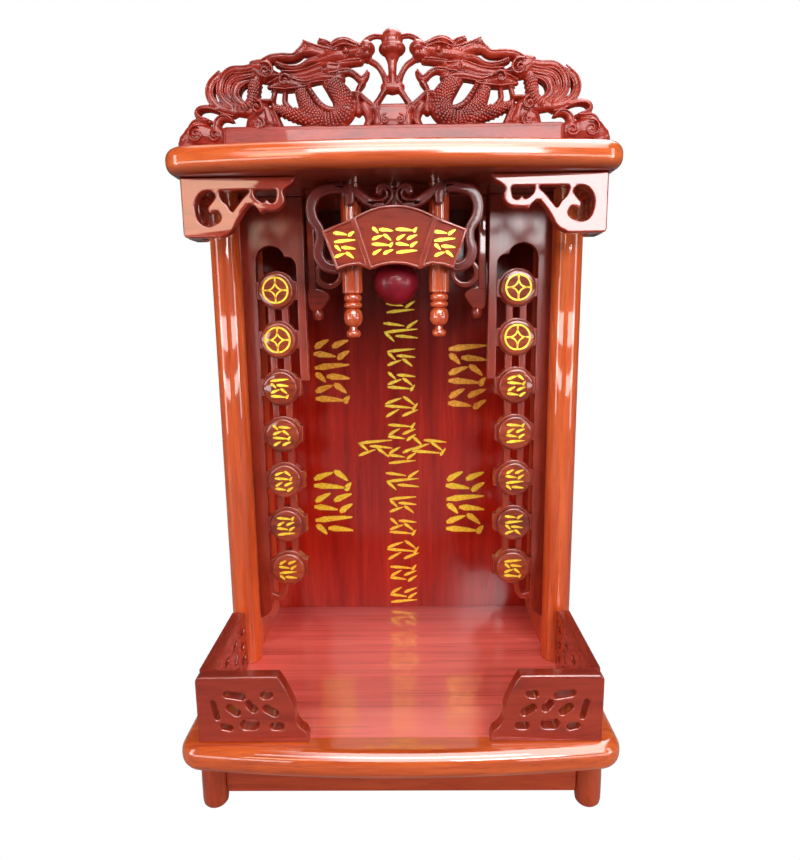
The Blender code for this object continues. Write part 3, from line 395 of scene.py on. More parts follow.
# %% Gold paint and lamp glass
def gold(name, deep, bright):
    made, tree, shader, place = started(name)
    shader.inputs["Metallic"].default_value = 0.25
    cloud = noise(tree, place, 260, 4).outputs["Fac"]
    tree.links.new(ramp(tree, cloud, ((0.35, deep), (0.62, bright))), shader.inputs["Base Color"])
    tree.links.new(mapped(tree, cloud, 0, 1, 0.28, 0.46), shader.inputs["Roughness"])
    tree.links.new(bumped(tree, cloud, 0.15, 0.0003), shader.inputs["Normal"])
    return made


def crimson(name, deep, bright):
    made, tree, shader, place = started(name)
    shader.inputs["Coat Weight"].default_value = 0.15
    shader.inputs["Coat Roughness"].default_value = 0.12
    shader.inputs["Specular IOR Level"].default_value = 0.15
    shader.inputs["Roughness"].default_value = 0.42
    swirl = noise(tree, place, 45, 3).outputs["Fac"]
    tree.links.new(ramp(tree, swirl, ((0.3, deep), (0.7, bright))), shader.inputs["Base Color"])
    return made


gold_paint = gold("yellow gold paint", (0.86, 0.50, 0.02), (1.0, 0.80, 0.05))
amber_paint = gold("amber gold paint", (0.72, 0.24, 0.01), (0.95, 0.48, 0.03))
lamp_skin = crimson("crimson lamp skin", (0.13, 0.002, 0.007), (0.27, 0.006, 0.020))
print("paints", gold_paint.name, amber_paint.name, lamp_skin.name)

# %% [markdown]
# A few helpers do what a maker's hand repeats. They pick a piece up, finish its modifiers, join bodies
# that are glued into one piece, copy or mirror a piece, and move it inside its own mesh. The main one
# smooths a finished piece, lacquers it, hangs it on the root and hides the solids it stands in for.


def pick(piece):
    clear_selection()
    piece.select_set(True)
    bpy.context.view_layer.objects.active = piece
    return piece


def apply_all(piece):
    pick(piece)
    for modifier in list(piece.modifiers):
        bpy.ops.object.modifier_apply(modifier=modifier.name)
    bpy.ops.object.transform_apply(location=True, rotation=True, scale=True)
    return piece


def glued(pieces):
    clear_selection()
    for piece in pieces:
        piece.select_set(True)
    bpy.context.view_layer.objects.active = pieces[0]
    bpy.ops.object.join()
    return bpy.context.object


def twin(piece):
    other = piece.copy()
    other.data = piece.data.copy()
    bpy.context.collection.objects.link(other)
    return other


def mirrored(piece):
    other = twin(piece)
    other.data.transform(Matrix.Diagonal((-1, 1, 1, 1)))
    other.data.flip_normals()
    return other


def dressed(piece, name, material, nodes, angle=32):
    pick(piece)
    bpy.ops.object.shade_smooth_by_angle(angle=radians(angle))
    if angle < 60:
        flat = piece.modifiers.new("flat faces", "WEIGHTED_NORMAL")
        flat.keep_sharp = True
        bpy.ops.object.modifier_apply(modifier=flat.name)
    piece.name = name
    piece.data.name = name
    piece.data.materials.clear()
    piece.data.materials.append(material)
    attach(piece, "root")
    if nodes:
        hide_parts(*nodes)
    return piece


def carved_pair(piece, kind, material):
    for side, half in (("right", piece), ("left", mirrored(piece))):
        node = kind + "_" + side
        dressed(half, node + "_carved", material, [node])


def moved(piece, x, y, z, turn=None):
    piece.data.transform(Matrix.Translation((x, y, z)) @ (turn or Matrix()))
    return piece


def centre_of(low, high):
    return (low[0] + high[0]) / 2, (low[1] + high[1]) / 2


quarter_x = Matrix.Rotation(pi / 2, 4, "X")
quarter_z = Matrix.Rotation(pi / 2, 4, "Z")
print("lacquers ready for", len(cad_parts), "solids")

# %% [markdown]
# The thick base and roof are boards with a bowed front and a full round nose. The points of a flat disc
# are laid along the bow and the two rounded corners, the face is extruded to the thickness, and the top
# and bottom edges are bevelled until they nearly meet. The base gets its pocket for the floor panel from
# a Boolean with a box.


# %% Nosed boards
corner_steps = 12
bow_steps = 16


def picked_edges(piece, test):
    mesh = piece.data
    bpy.ops.object.mode_set(mode="EDIT")
    bpy.ops.mesh.select_mode(type="EDGE")
    bpy.ops.mesh.select_all(action="DESELECT")
    bpy.ops.object.mode_set(mode="OBJECT")
    count = 0
    for edge in mesh.edges:
        a, b = (mesh.vertices[i].co for i in edge.vertices)
        edge.select = test(a, b)
        count += edge.select
    bpy.ops.object.mode_set(mode="EDIT")
    return count


def bowed_outline(half, front, back, bow):
    slope = atan2(2 * bow * (half - corner_radius), half * half)
    end_x = half - corner_radius + corner_radius * sin(slope)
    centre_y = front + bow * (end_x / half) ** 2 + corner_radius * cos(slope)
    side = [(half, back)]
    for i in range(corner_steps + 1):
        t = -(pi / 2 - slope) * i / corner_steps
        side.append((half - corner_radius + corner_radius * cos(t), centre_y + corner_radius * sin(t)))
    for i in range(1, bow_steps):
        x = end_x * (1 - i / bow_steps)
        side.append((x, front + bow * (x / half) ** 2))
    return side + [(0, front)] + [(-x, y) for x, y in side[::-1]]


def nosed_board(node, bow):
    low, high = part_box(node)
    thick = high[2] - low[2]
    loop = bowed_outline(high[0], low[1], high[1], bow)
    clear_selection()
    bpy.ops.mesh.primitive_circle_add(vertices=len(loop), radius=1, fill_type="NGON", location=(0, 0, 0))
    piece = bpy.context.object
    for vert, (x, y) in zip(piece.data.vertices, loop):
        vert.co = (x, y, low[2])
    bpy.ops.object.mode_set(mode="EDIT")
    bpy.ops.mesh.select_all(action="SELECT")
    bpy.ops.mesh.extrude_region_move(TRANSFORM_OT_translate={"value": (0, 0, thick)})
    bpy.ops.mesh.select_all(action="SELECT")
    bpy.ops.mesh.normals_make_consistent(inside=False)
    count = picked_edges(piece, lambda a, b: abs(a.z - b.z) < 1e-5 and a.y + b.y < 2 * high[1] - 1e-4)
    bpy.ops.mesh.bevel(offset=nose_share * thick, offset_type="OFFSET", segments=9, affect="EDGES",
                       clamp_overlap=False)
    bpy.ops.object.mode_set(mode="OBJECT")
    print(node, "nose edges", count, "faces", len(piece.data.polygons))
    return piece


roof_piece = nosed_board("roof_board", roof_bow)
dressed(roof_piece, "roof_board_lacquered", roof_lacquer_and_shade, ["roof_board"], 40)
base_piece = nosed_board("base_board", base_bow)
pocket_depth = 0.02
clear_selection()
bpy.ops.mesh.primitive_cube_add(size=1, location=(0, centre_of(floor_low, floor_high)[1],
                                                  floor_low[2] + pocket_depth / 2))
pocket = bpy.context.object
spans = (floor_high[0] - floor_low[0], floor_high[1] - floor_low[1], pocket_depth)
pocket.scale = [span + 2 * clearance for span in spans]
cut = base_piece.modifiers.new("pocket", "BOOLEAN")
cut.operation = "DIFFERENCE"
cut.solver = "EXACT"
cut.object = pocket
apply_all(base_piece)
bpy.data.objects.remove(pocket, do_unlink=True)
dressed(base_piece, "base_board_lacquered", board_wood, ["base_board"], 40)

# %% [markdown]
# Carved boards such as rails, brackets and strips start as an outline on paper, sawn through and then
# softened along every edge. A flat curve with holes does the same: it is filled, given a thickness and
# a small bevel that runs round the outline and each hole, and then turned upright as a mesh.


# %% Sawn boards
def smooth(points, steps=6, closed=False):
    made = []
    count = len(points)
    for i in range(count if closed else count - 1):
        picks = [points[j % count] if closed else points[max(0, min(count - 1, j))]
                 for j in (i - 1, i, i + 1, i + 2)]
        for s in range(steps):
            t = s / steps
            made.append(tuple(0.5 * (2 * b + (c - a) * t + (2 * a - 5 * b + 4 * c - d) * t * t
                                     + (3 * b - a - 3 * c + d) * t ** 3) for a, b, c, d in zip(*picks)))
    return made if closed else made + [tuple(points[-1])]


def arc(cx, cz, radius, start, end, steps):
    turns = [radians(start + (end - start) * i / steps) for i in range(steps + 1)]
    return [(cx + radius * cos(t), cz + radius * sin(t)) for t in turns]


def slot_hole(x, z, length, width, slant, steps=8):
    reach = max(length - width, 0.0002) / 2
    dx, dz = cos(radians(slant)) * reach, sin(radians(slant)) * reach
    return (arc(x + dx, z + dz, width / 2, slant - 90, slant + 90, steps)
            + arc(x - dx, z - dz, width / 2, slant + 90, slant + 270, steps))


def across(route, steps):
    line = smooth(route, steps)
    made = []
    for i, (x, z, half) in enumerate(line):
        x0, z0 = line[max(0, i - 1)][:2]
        x1, z1 = line[min(len(line) - 1, i + 1)][:2]
        length = hypot(x1 - x0, z1 - z0)
        made.append((x, z, half, -(z1 - z0) / length, (x1 - x0) / length))
    return made


def beside(route, share, half_width, steps=6):
    return [(x + nx * half * share, z + nz * half * share, half_width)
            for x, z, half, nx, nz in across(route, steps)]


def ribbon(route, steps=6, cap=6):
    line = across(route, steps)
    left_edge = [(x + nx * half, z + nz * half) for x, z, half, nx, nz in line]
    right_edge = [(x - nx * half, z - nz * half) for x, z, half, nx, nz in line]
    ends = []
    for i, j in ((len(line) - 1, len(line) - 2), (0, 1)):
        x, z, half = line[i][:3]
        heading = atan2(z - line[j][1], x - line[j][0])
        turns = [heading + pi / 2 - pi * k / (cap + 1) for k in range(1, cap + 1)]
        ends.append([(x + half * cos(t), z + half * sin(t)) for t in turns])
    return left_edge + ends[0] + right_edge[::-1] + ends[1]


def meshed(curve):
    holder = bpy.data.objects.new(curve.name, curve)
    bpy.context.collection.objects.link(holder)
    pick(holder)
    bpy.ops.object.convert(target="MESH")
    return bpy.context.object


def sawn(loops, thickness, front_y, soft=0.0010):
    curve = bpy.data.curves.new("sawn", "CURVE")
    curve.dimensions = "2D"
    curve.fill_mode = "BOTH"
    curve.extrude = thickness / 2 - soft
    curve.bevel_depth = soft
    curve.bevel_resolution = 2
    curve.offset = -soft
    for loop in loops:
        spline = curve.splines.new("POLY")
        spline.points.add(len(loop) - 1)
        for point, (x, z) in zip(spline.points, loop):
            point.co = (x, z, 0, 1)
        spline.use_cyclic_u = True
    piece = meshed(curve)
    bpy.ops.object.mode_set(mode="EDIT")
    bpy.ops.mesh.select_all(action="SELECT")
    bpy.ops.mesh.remove_doubles(threshold=weld_gap)
    bpy.ops.mesh.normals_make_consistent(inside=False)
    bpy.ops.object.mode_set(mode="OBJECT")
    piece.rotation_euler = (pi / 2, 0, 0)
    piece.location = (0, front_y + thickness / 2, 0)
    bpy.ops.object.transform_apply(location=True, rotation=True, scale=True)
    return piece


def soft_block(x0, x1, y0, y1, z0, z1, soft=0.0012):
    clear_selection()
    bpy.ops.mesh.primitive_cube_add(size=1, location=((x0 + x1) / 2, (y0 + y1) / 2, (z0 + z1) / 2))
    piece = bpy.context.object
    piece.scale = (x1 - x0, y1 - y0, z1 - z0)
    bpy.ops.object.transform_apply(location=True, rotation=True, scale=True)
    bpy.ops.object.mode_set(mode="EDIT")
    bpy.ops.mesh.select_all(action="SELECT")
    bpy.ops.mesh.bevel(offset=soft, segments=3, affect="EDGES")
    bpy.ops.object.mode_set(mode="OBJECT")
    return piece


print("a slot hole has", len(slot_hole(0, 0, 0.02, 0.008, 0)), "points")

# %% [markdown]
# The rails stand on the edge of the base. Each front rail steps up from the middle to the corner and is
# pierced by rounded slots laid like rushing water. The side rails repeat three rows of slots.

# %% Rails
rail_low, rail_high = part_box("rail_front_right")
rail_half = rail_high[0]
rail_length = rail_high[0] - rail_low[0]
rail_thick = rail_high[1] - rail_low[1]
drawn_length = 0.115
drawn_height = 0.074
run = rail_length / drawn_length
rise = (rail_high[2] - rail_low[2]) / drawn_height
rail_soft = 0.0016
end_route = [(0.030, 0.074), (0.0255, 0.067), (0.0185, 0.052), (0.0135, 0.038), (0.0130, 0.026),
             (0.0085, 0.0165), (0.0030, 0.012), (0, 0.005)]
rail_outline = [(rail_half, rail_low[2])]
rail_outline += arc(rail_half - 0.006, rail_high[2] - 0.006, 0.006, 0, 90, 6)
rail_outline += [(rail_low[0] + x * run, rail_low[2] + z * rise) for x, z in smooth(end_route)]
rail_outline += [(rail_low[0], rail_low[2])]
front_slots = [(0.040, 0.053, 0.023, 0.0075, 10), (0.073, 0.0535, 0.013, 0.0085, -8),
               (0.019, 0.0365, 0.023, 0.0060, 78), (0.038, 0.0365, 0.017, 0.0085, 38),
               (0.057, 0.0405, 0.015, 0.0085, 52), (0.0765, 0.0360, 0.018, 0.0085, 32),
               (0.030, 0.0170, 0.014, 0.0070, 12), (0.054, 0.0200, 0.020, 0.0120, 0),
               (0.0825, 0.0180, 0.015, 0.0085, 0)]
rail_holes = [slot_hole(rail_half - x * run, rail_low[2] + z * rise, length * run, width * rise, slant)
              for x, z, length, width, slant in front_slots]
rail_right = sawn([rail_outline] + rail_holes, rail_thick, rail_low[1], rail_soft)
carved_pair(rail_right, "rail_front", carved_wood)

side_low, side_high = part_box("rail_side_right")
side_length = side_high[1] - side_low[1]
side_height = drawn_height * rise
end_round = 0.008
slot_columns = 4
side_corner = arc(side_length - end_round, side_height - end_round, end_round, 0, 90, 6)
side_loops = [[(0, 0), (side_length, 0)] + side_corner + [(0, side_height)]]
for i in range(slot_columns):
    along = side_length * (i + 0.5) / slot_columns
    side_loops.append(slot_hole(along, 0.053 * rise, 0.017, 0.0075 * rise, 8 - 16 * (i % 2)))
    side_loops.append(slot_hole(along + 0.003 - 0.006 * (i % 2), 0.0355 * rise, 0.016, 0.008 * rise,
                                38 - 76 * (i % 2)))
    side_loops.append(slot_hole(along, 0.0175 * rise, 0.018, 0.0085 * rise, 0))
side_right = sawn(side_loops, rail_thick, 0, rail_soft)
moved(side_right, rail_half, side_low[1], side_low[2], quarter_z)
carved_pair(side_right, "rail_side", rail_side_wood)

# %% [markdown]
# Posts, feet, buttons, hanging posts and the lamp come off a lathe. A disc is added at the foot and
# extruded up ring by ring, and each ring is scaled to the radius of the profile at that height.


# %% Turned pieces
def turned(profile, place=(0, 0), steps=48):
    clear_selection()
    x, y = place
    last, height = profile[0]
    bpy.ops.mesh.primitive_circle_add(vertices=steps, radius=last, fill_type="NGON", location=(x, y, height))
    bpy.ops.object.transform_apply(location=True, rotation=True, scale=True)
    bpy.ops.object.mode_set(mode="EDIT")
    bpy.ops.mesh.select_mode(type="FACE")
    bpy.ops.mesh.select_all(action="SELECT")
    for radius, z in profile[1:]:
        bpy.ops.mesh.extrude_region_move(TRANSFORM_OT_translate={"value": (0, 0, z - height)})
        bpy.ops.transform.resize(value=(radius / last, radius / last, 1), center_override=(x, y, z))
        last, height = radius, z
    bpy.ops.mesh.select_all(action="SELECT")
    bpy.ops.mesh.normals_make_consistent(inside=False)
    bpy.ops.object.mode_set(mode="OBJECT")
    return bpy.context.object


def bulge(radius, low, high, steps, neck):
    made = []
    for i in range(steps + 1):
        t = -cos(pi * i / steps)
        made.append((neck + (radius - neck) * (1 - t * t) ** 0.5, low + (high - low) * (t + 1) / 2))
    return made


post_low, post_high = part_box("post_right")
post_place = centre_of(post_low, post_high)
post_radius = (post_high[0] - post_low[0]) / 2
post_profile = [(post_radius - 0.0010, post_low[2]), (post_radius, post_low[2] + 0.0012),
                (post_radius, post_high[2])]
for side, sign in sides:
    piece = turned(post_profile, (sign * post_place[0], post_place[1]), 64)
    dressed(piece, "post_" + side + "_turned", post_wood, ["post_" + side])

foot_profile = [(0.0085, 0), (0.0112, 0.0006), (0.0132, 0.0030), (0.0140, 0.0080), (0.0140, 0.030),
                (0.0136, 0.055), (0.0130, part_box("foot_front_left")[1][2])]
for end in ("front", "back"):
    for side, sign in sides:
        node = "foot_" + end + "_" + side
        piece = turned(foot_profile, centre_of(*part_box(node)))
        dressed(piece, node + "_turned", foot_shade_wood, [node])

# %% [markdown]
# Under the base four thin strips tie the feet together. They are plain planed boards with eased edges.

# %% Aprons
for end in ("front", "back", "left", "right"):
    node = "apron_" + end
    low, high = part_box(node)
    piece = soft_block(low[0], high[0], low[1], high[1], low[2], high[2])
    dressed(piece, node + "_planed", apron_shade_wood, [node])

# %% [markdown]
# Each couplet board is a pierced strip with a cusped arch at its top. Round seats with flat lugs carry
# the buttons, two short bars join each seat to the next, and a hook closes the foot. The strip, the
# seats, the bars and the hook are cut with the same outline as the solid, then joined.

# %% Couplet boards
board_low, board_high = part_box("couplet_board_right")
strip_front = board_low[1] + 0.001
strip_thick = board_high[1] - strip_front
outer = board_high[0]
inner = board_low[0]
gap_outer = outer - 0.0165
gap_inner = inner + 0.010
seat_x = (gap_outer + gap_inner) / 2
seat_radius = 0.0230
lug_half = 0.0105
lug_lap = 0.0004
bar_shift = 0.0083
bar_half = 0.0041
bar_lap = 0.0045
pitch = 0.0586
top_seat_z = roof_z - 0.1075
gap = gap_outer - gap_inner
big = 0.372 * gap
small = 0.232 * gap
spring_z = top_seat_z + 0.034
inner_end_z = top_seat_z - 1.86 * pitch
foot_z = top_seat_z - (disc_count - 1) * pitch - 0.0714
outline = [(outer, wall_top), (inner, wall_top), (inner, inner_end_z), (gap_inner, inner_end_z),
           (gap_inner, spring_z - 0.011)]
outline += arc(gap_inner + small, spring_z - 0.006, small, 178, 76, 14)
outline += arc(gap_outer - big, spring_z, big, 148, 2, 24)
outline += smooth([(gap_outer, foot_z + 0.022), (gap_outer + 0.0012, foot_z + 0.0135),
                   (gap_outer + 0.0060, foot_z + 0.0060), (outer, foot_z)])
bodies = [sawn([outline], strip_thick, strip_front, 0.0009)]
for i in range(disc_count):
    z = top_seat_z - i * pitch
    seat = arc(seat_x, z, seat_radius, 30, 150, 20)
    seat += [(gap_inner - lug_lap, z + lug_half), (gap_inner - lug_lap, z - lug_half)]
    seat += arc(seat_x, z, seat_radius, 210, 330, 20)
    seat += [(gap_outer + lug_lap, z - lug_half), (gap_outer + lug_lap, z + lug_half)]
    bodies.append(sawn([seat], board_high[1] - board_low[1], board_low[1]))
    if i + 1 < disc_count:
        for bar_x in (seat_x - bar_shift, seat_x + bar_shift):
            bodies.append(soft_block(bar_x - bar_half, bar_x + bar_half, strip_front + 0.0008,
                                     board_high[1] - 0.002, z - pitch + seat_radius - bar_lap,
                                     z - seat_radius + bar_lap))
hook_z = foot_z + 0.031
hook_route = [(gap_outer + 0.002, hook_z, 0.0040), (gap_outer - 0.0085, hook_z - 0.0030, 0.0036),
              (gap_outer - 0.0150, hook_z + 0.0020, 0.0034), (gap_outer - 0.0165, hook_z + 0.0100, 0.0034),
              (gap_outer - 0.0185, hook_z + 0.0205, 0.0034)]
bodies.append(sawn([ribbon(hook_route)], strip_thick - 0.003, strip_front + 0.001))
carved_pair(glued(bodies), "couplet_board", strip_wood)
print("seats at x", round(seat_x, 4), "from z", round(top_seat_z, 4))

# %% [markdown]
# The fourteen buttons are turned once, with a softened rim and a faintly domed face, and copied. The two
# upper ones on each side carry the old coin pattern: a ring with a four-pointed field inside. The other
# five carry rows of shallow gold strokes.

# %% Buttons
disc_low, disc_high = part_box("disc_right_1")
disc_radius = (disc_high[2] - disc_low[2]) / 2
disc_thick = disc_high[1] - disc_low[1]
rim_round = 0.0026
rim_z = disc_thick - 0.0030
disc_profile = [(disc_radius - 0.0004, 0), (disc_radius, 0.0006), (disc_radius, rim_z)]
disc_profile += arc(disc_radius - rim_round, rim_z, rim_round, 20, 80, 3)
disc_profile += [(disc_radius * 0.80, disc_thick - 0.0002), (disc_radius * 0.45, disc_thick)]
first_button = moved(turned(disc_profile, steps=56), 0, 0, 0, quarter_x)
for side, sign in sides:
    for i in range(disc_count):
        node = "disc_" + side + "_" + str(i + 1)
        button = moved(twin(first_button), sign * seat_x, disc_high[1], top_seat_z - i * pitch)
        dressed(button, node + "_turned", button_wood, [node], 40)
bpy.data.objects.remove(first_button, do_unlink=True)
face_y = disc_low[1]
print("button radius", round(disc_radius, 4), "face at y", round(face_y, 4))

# %% [markdown]
# A brush stroke in raised gold is a small flat dab: thicker in the middle and pointed at its ends. One dab
# is shaped from a cube by pulling its ends together and rounding its edges, and all the others are
# copies of it. The rows are only strokes at changing slants, so they look like marks and spell nothing.


# %% Gold strokes
dab_thick = 0.0006
dab_width = 0.16
dab_sunk = 0.0002
clear_selection()
bpy.ops.mesh.primitive_cube_add(size=1, location=(0, 0, 0))
dab = bpy.context.object
dab.scale = (1, dab_thick, dab_width)
bpy.ops.object.transform_apply(location=True, rotation=True, scale=True)
bpy.ops.object.mode_set(mode="EDIT")
bpy.ops.mesh.select_all(action="SELECT")
bpy.ops.mesh.subdivide(number_cuts=3)
bpy.ops.mesh.select_all(action="DESELECT")
bpy.ops.object.mode_set(mode="OBJECT")
for vert in dab.data.vertices:
    press = (0.45, 1.0, 0.80, 0.62, 0.20)[round((vert.co.x + 0.5) * 4)]
    vert.co.z = vert.co.z * press + 0.05 * (0.25 - vert.co.x ** 2)
pick(dab)
round_off = dab.modifiers.new("round", "BEVEL")
round_off.width = 0.0002
round_off.segments = 1
round_off.angle_limit = radians(50)
apply_all(dab)
stroke_rows = [[(-0.27, 0.46, 30), (0.25, 0.50, 22)], [(-0.20, 0.62, -8), (0.33, 0.40, 34)],
               [(0.0, 0.98, 5)], [(-0.33, 0.38, -44), (0.17, 0.66, -6)],
               [(-0.24, 0.52, 20), (0.22, 0.44, -38)], [(-0.08, 0.84, -5), (0.40, 0.26, 55)]]


def stroke_mark(x, z, width, height, rows, first, y, thick):
    made = []
    for r in range(rows):
        row_z = z + height * (0.5 - (r + 0.5) / rows)
        for offset, length, slant in stroke_rows[(first + r) % len(stroke_rows)]:
            stroke = twin(dab)
            scale = Matrix.Diagonal((length * width, 1, thick / dab_width, 1))
            turn = Matrix.Rotation(-radians(slant), 4, "Y")
            made.append(moved(stroke, x + offset * width, y, row_z, turn @ scale))
    return made


print("rows of strokes", len(stroke_rows), "corners in a dab", len(dab.data.vertices))

# %% [markdown]
# The coin pattern is sawn like the boards, only much thinner: one ring, four quarter arcs that curve
# inwards to make the pointed field, and four short links out to the ring. All of it lies on the face.

# %% Gold on the buttons
gold_y = face_y - dab_thick / 2 + dab_sunk
coin_count = 2
coin_ring = 0.0148
coin_point = 0.0102
coin_line = 0.0011


def gold_line(loops):
    return sawn(loops, dab_thick, gold_y - dab_thick / 2, 0.0003)


def coin_pattern(x, z):
    made = [gold_line([arc(x, z, coin_ring + line, 0, 355, 71) for line in (coin_line, -coin_line)])]
    for dx, dz, start in ((1, 1, 180), (-1, 1, 270), (-1, -1, 0), (1, -1, 90)):
        curve = arc(x + dx * coin_point, z + dz * coin_point, coin_point, start, start + 90, 14)
        made.append(gold_line([ribbon([(px, pz, coin_line * 0.9) for px, pz in curve], 1, 3)]))
    for dx, dz in ((1, 0), (0, 1), (-1, 0), (0, -1)):
        link = [(x + dx * a, z + dz * a, coin_line) for a in (coin_point - 0.0006, coin_ring)]
        made.append(gold_line([ribbon(link, 1, 3)]))
    return made


for side, sign in sides:
    for i in range(disc_count):
        x = sign * seat_x
        z = top_seat_z - i * pitch
        name = side + "_" + str(i + 1)
        if i < coin_count:
            parts = coin_pattern(x, z)
            name = "coin_pattern_" + name
        else:
            parts = stroke_mark(x, z, 0.0225, 0.0270, 4, i + (sign > 0) * 2, gold_y, 0.0036)
            name = "gold_strokes_" + name
        dressed(glued(parts), name, gold_paint, [], 40)

# %% [markdown]
# The back panel carries a column of small gold marks in the middle, a wide pair across it, and two large
# marks on each side. The upper large ones are a deeper orange gold than the rest. The panel, the two side
# walls and the floor panel are plain flat boards, so their solids only get their lacquer.

# %% Gold on the back panel
panel_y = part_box("back_panel")[0][1] - dab_thick / 2 + dab_sunk
column_x = 0.003
column_top = 0.449
column_foot = 0.018
column_marks = 13
pair_z = 0.247
parts = []
for i in range(column_marks):
    z = column_top - i * (column_top - column_foot) / (column_marks - 1)
    if abs(z - pair_z) > 0.012:
        width = 0.048 if i % 3 == 1 else 0.040
        parts += stroke_mark(column_x, floor_z + z, width, 0.026, 3, i, panel_y, 0.0046)
for x, first in ((-0.036, 2), (0.042, 3)):
    parts += stroke_mark(x, floor_z + pair_z, 0.050, 0.024, 3, first, panel_y, 0.0046)
dressed(glued(parts), "panel_gold_column", gold_paint, [], 40)
large = [("upper_left", -0.095, 0.3565, 0.050, 0.095), ("upper_right", 0.0965, 0.3485, 0.054, 0.097),
         ("lower_left", -0.099, 0.164, 0.056, 0.098), ("lower_right", 0.0945, 0.162, 0.056, 0.098)]
for i, (name, x, z, width, height) in enumerate(large):
    parts = stroke_mark(x, floor_z + z, width, height, 6, i * 2, panel_y, 0.0092)
    dressed(glued(parts), "panel_gold_" + name, amber_paint if i < 2 else gold_paint, [], 40)
flat_boards = {"back_panel": panel_lacquer_and_shade, "side_wall_left": wall_wood, "side_wall_right": wall_wood,
               "floor_panel": floor_lacquer_sheen_and_shade}
for node, lacquer in flat_boards.items():
    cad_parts[node].material_slots[0].material = lacquer

# %% [markdown]
# Four brackets sit under the front corners of the roof. Each front one is sawn to a scrolled lower edge
# and pierced by a crescent, a wedge and a leaf, and a plainer one runs back from it to the post.

# %% Brackets
front_low, front_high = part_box("bracket_front_right")
bracket_outer = front_high[0]
bracket_thick = front_high[1] - front_low[1]
bracket_soft = 0.0015
long = (front_high[0] - front_low[0]) / 0.116
drop = (front_high[2] - front_low[2]) / 0.058
lower = [(0.1130, -0.0060), (0.1030, -0.0130), (0.1040, -0.0210), (0.1015, -0.0275), (0.0935, -0.0323),
         (0.0842, -0.0321), (0.0790, -0.0345)]
upper = [(0.0762, -0.0300), (0.0682, -0.0262), (0.0573, -0.0387), (0.0495, -0.0512), (0.0378, -0.0580)]
corner = [(0.0035, -0.0580), (0.0012, -0.0570), (0, -0.0545), (0, 0)]
edge = [(0.1160, 0)] + smooth(lower) + smooth(upper) + corner
crescent = smooth([(0.0346, -0.0173), (0.0286, -0.0125), (0.0198, -0.0150), (0.0135, -0.0250),
                   (0.0150, -0.0390), (0.0204, -0.0455), (0.0280, -0.0466), (0.0365, -0.0428),
                   (0.0394, -0.0375), (0.0355, -0.0322), (0.0286, -0.0346), (0.0266, -0.0288),
                   (0.0305, -0.0240)], 6, True)
wedge = smooth([(0.0685, -0.0128), (0.0540, -0.0124), (0.0395, -0.0128), (0.0405, -0.0210),
                (0.0461, -0.0268), (0.0502, -0.0329), (0.0545, -0.0290), (0.0612, -0.0212)], 6, True)
leaf = smooth([(0.0958, -0.0128), (0.0850, -0.0124), (0.0740, -0.0128), (0.0748, -0.0195),
               (0.0820, -0.0244), (0.0860, -0.0216), (0.0895, -0.0249), (0.0945, -0.0230)], 6, True)
loops = [[(bracket_outer - x * long, front_high[2] + z * drop) for x, z in loop]
         for loop in (edge, crescent, wedge, leaf)]
carved_pair(sawn(loops, bracket_thick, front_low[1], bracket_soft), "bracket_front", carved_wood)

return_low, return_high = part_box("bracket_side_right")
length = return_high[1] - return_low[1]
depth = return_high[2] - return_low[2]
curve = smooth([(0.62, -0.90), (0.72, -0.72), (0.88, -0.60), (1.0, -0.42)])
return_edge = [(0, 0), (0, -depth), (0.45 * length, -depth)] + [(x * length, z * depth) for x, z in curve]
return_edge += [(length, 0)]
return_hole = ribbon([(0.70 * length, -0.30 * depth, 0.0050), (0.46 * length, -0.26 * depth, 0.0040),
                      (0.34 * length, -0.46 * depth, 0.0036), (0.44 * length, -0.68 * depth, 0.0050)])
return_right = sawn([return_edge, return_hole], bracket_thick, 0, bracket_soft)
moved(return_right, bracket_outer, return_low[1], return_high[2], quarter_z)
carved_pair(return_right, "bracket_side", rail_side_wood)

# %% [markdown]
# The plaque is a fan of three panels. A board cut with three openings makes the raised rims, a thinner
# board behind closes the openings, and the gold strokes lie on it. Behind the plaque a ribbon of scrolls
# loops out on both sides. Each loop is a strip that follows a smooth route, sawn like the other boards,
# with two thin raised lines along it. One side is made, and its mirror image is the other.

# %% Plaque and scrollwork
plaque_low, plaque_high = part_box("plaque")
plaque_thick = plaque_high[1] - plaque_low[1]
plaque_top = roof_z - 0.026
fan_run = (plaque_high[0] - plaque_low[0]) / 0.151
plaque_rim = 0.0030
plaque_relief = 0.0025
fan_top = [(-0.0755, -0.0250), (-0.0430, -0.0127)]
fan_top += [(-0.0430 + 0.0043 * i, -0.0127 * ((i - 10) / 10) ** 2) for i in range(1, 20)]
fan_top += [(0.0430, -0.0127), (0.0755, -0.0250)]
fan_low = [(0.0613, -0.0650), (0.0500, -0.0612), (0.0380, -0.0598), (0.0260, -0.0650)]
fan_low += [(0.0260 - 0.00325 * i, -0.0650 + 0.0056 * (1 - ((i - 8) / 8) ** 2)) for i in range(1, 16)]
fan_low += [(-0.0260, -0.0650), (-0.0380, -0.0598), (-0.0500, -0.0612), (-0.0613, -0.0650)]


def inset_loop(points, distance):
    made = []
    for i, (x, z) in enumerate(points):
        x0, z0 = points[i - 1]
        x1, z1 = points[(i + 1) % len(points)]
        a, b = hypot(x - x0, z - z0), hypot(x1 - x, z1 - z)
        nx, nz = (z - z0) / a + (z1 - z) / b, -(x - x0) / a - (x1 - x) / b
        size = nx * nx + nz * nz
        made.append((x + 2 * distance * nx / size, z + 2 * distance * nz / size))
    return made


def on_plaque(points):
    return [(x * fan_run, plaque_top + z) for x, z in points]


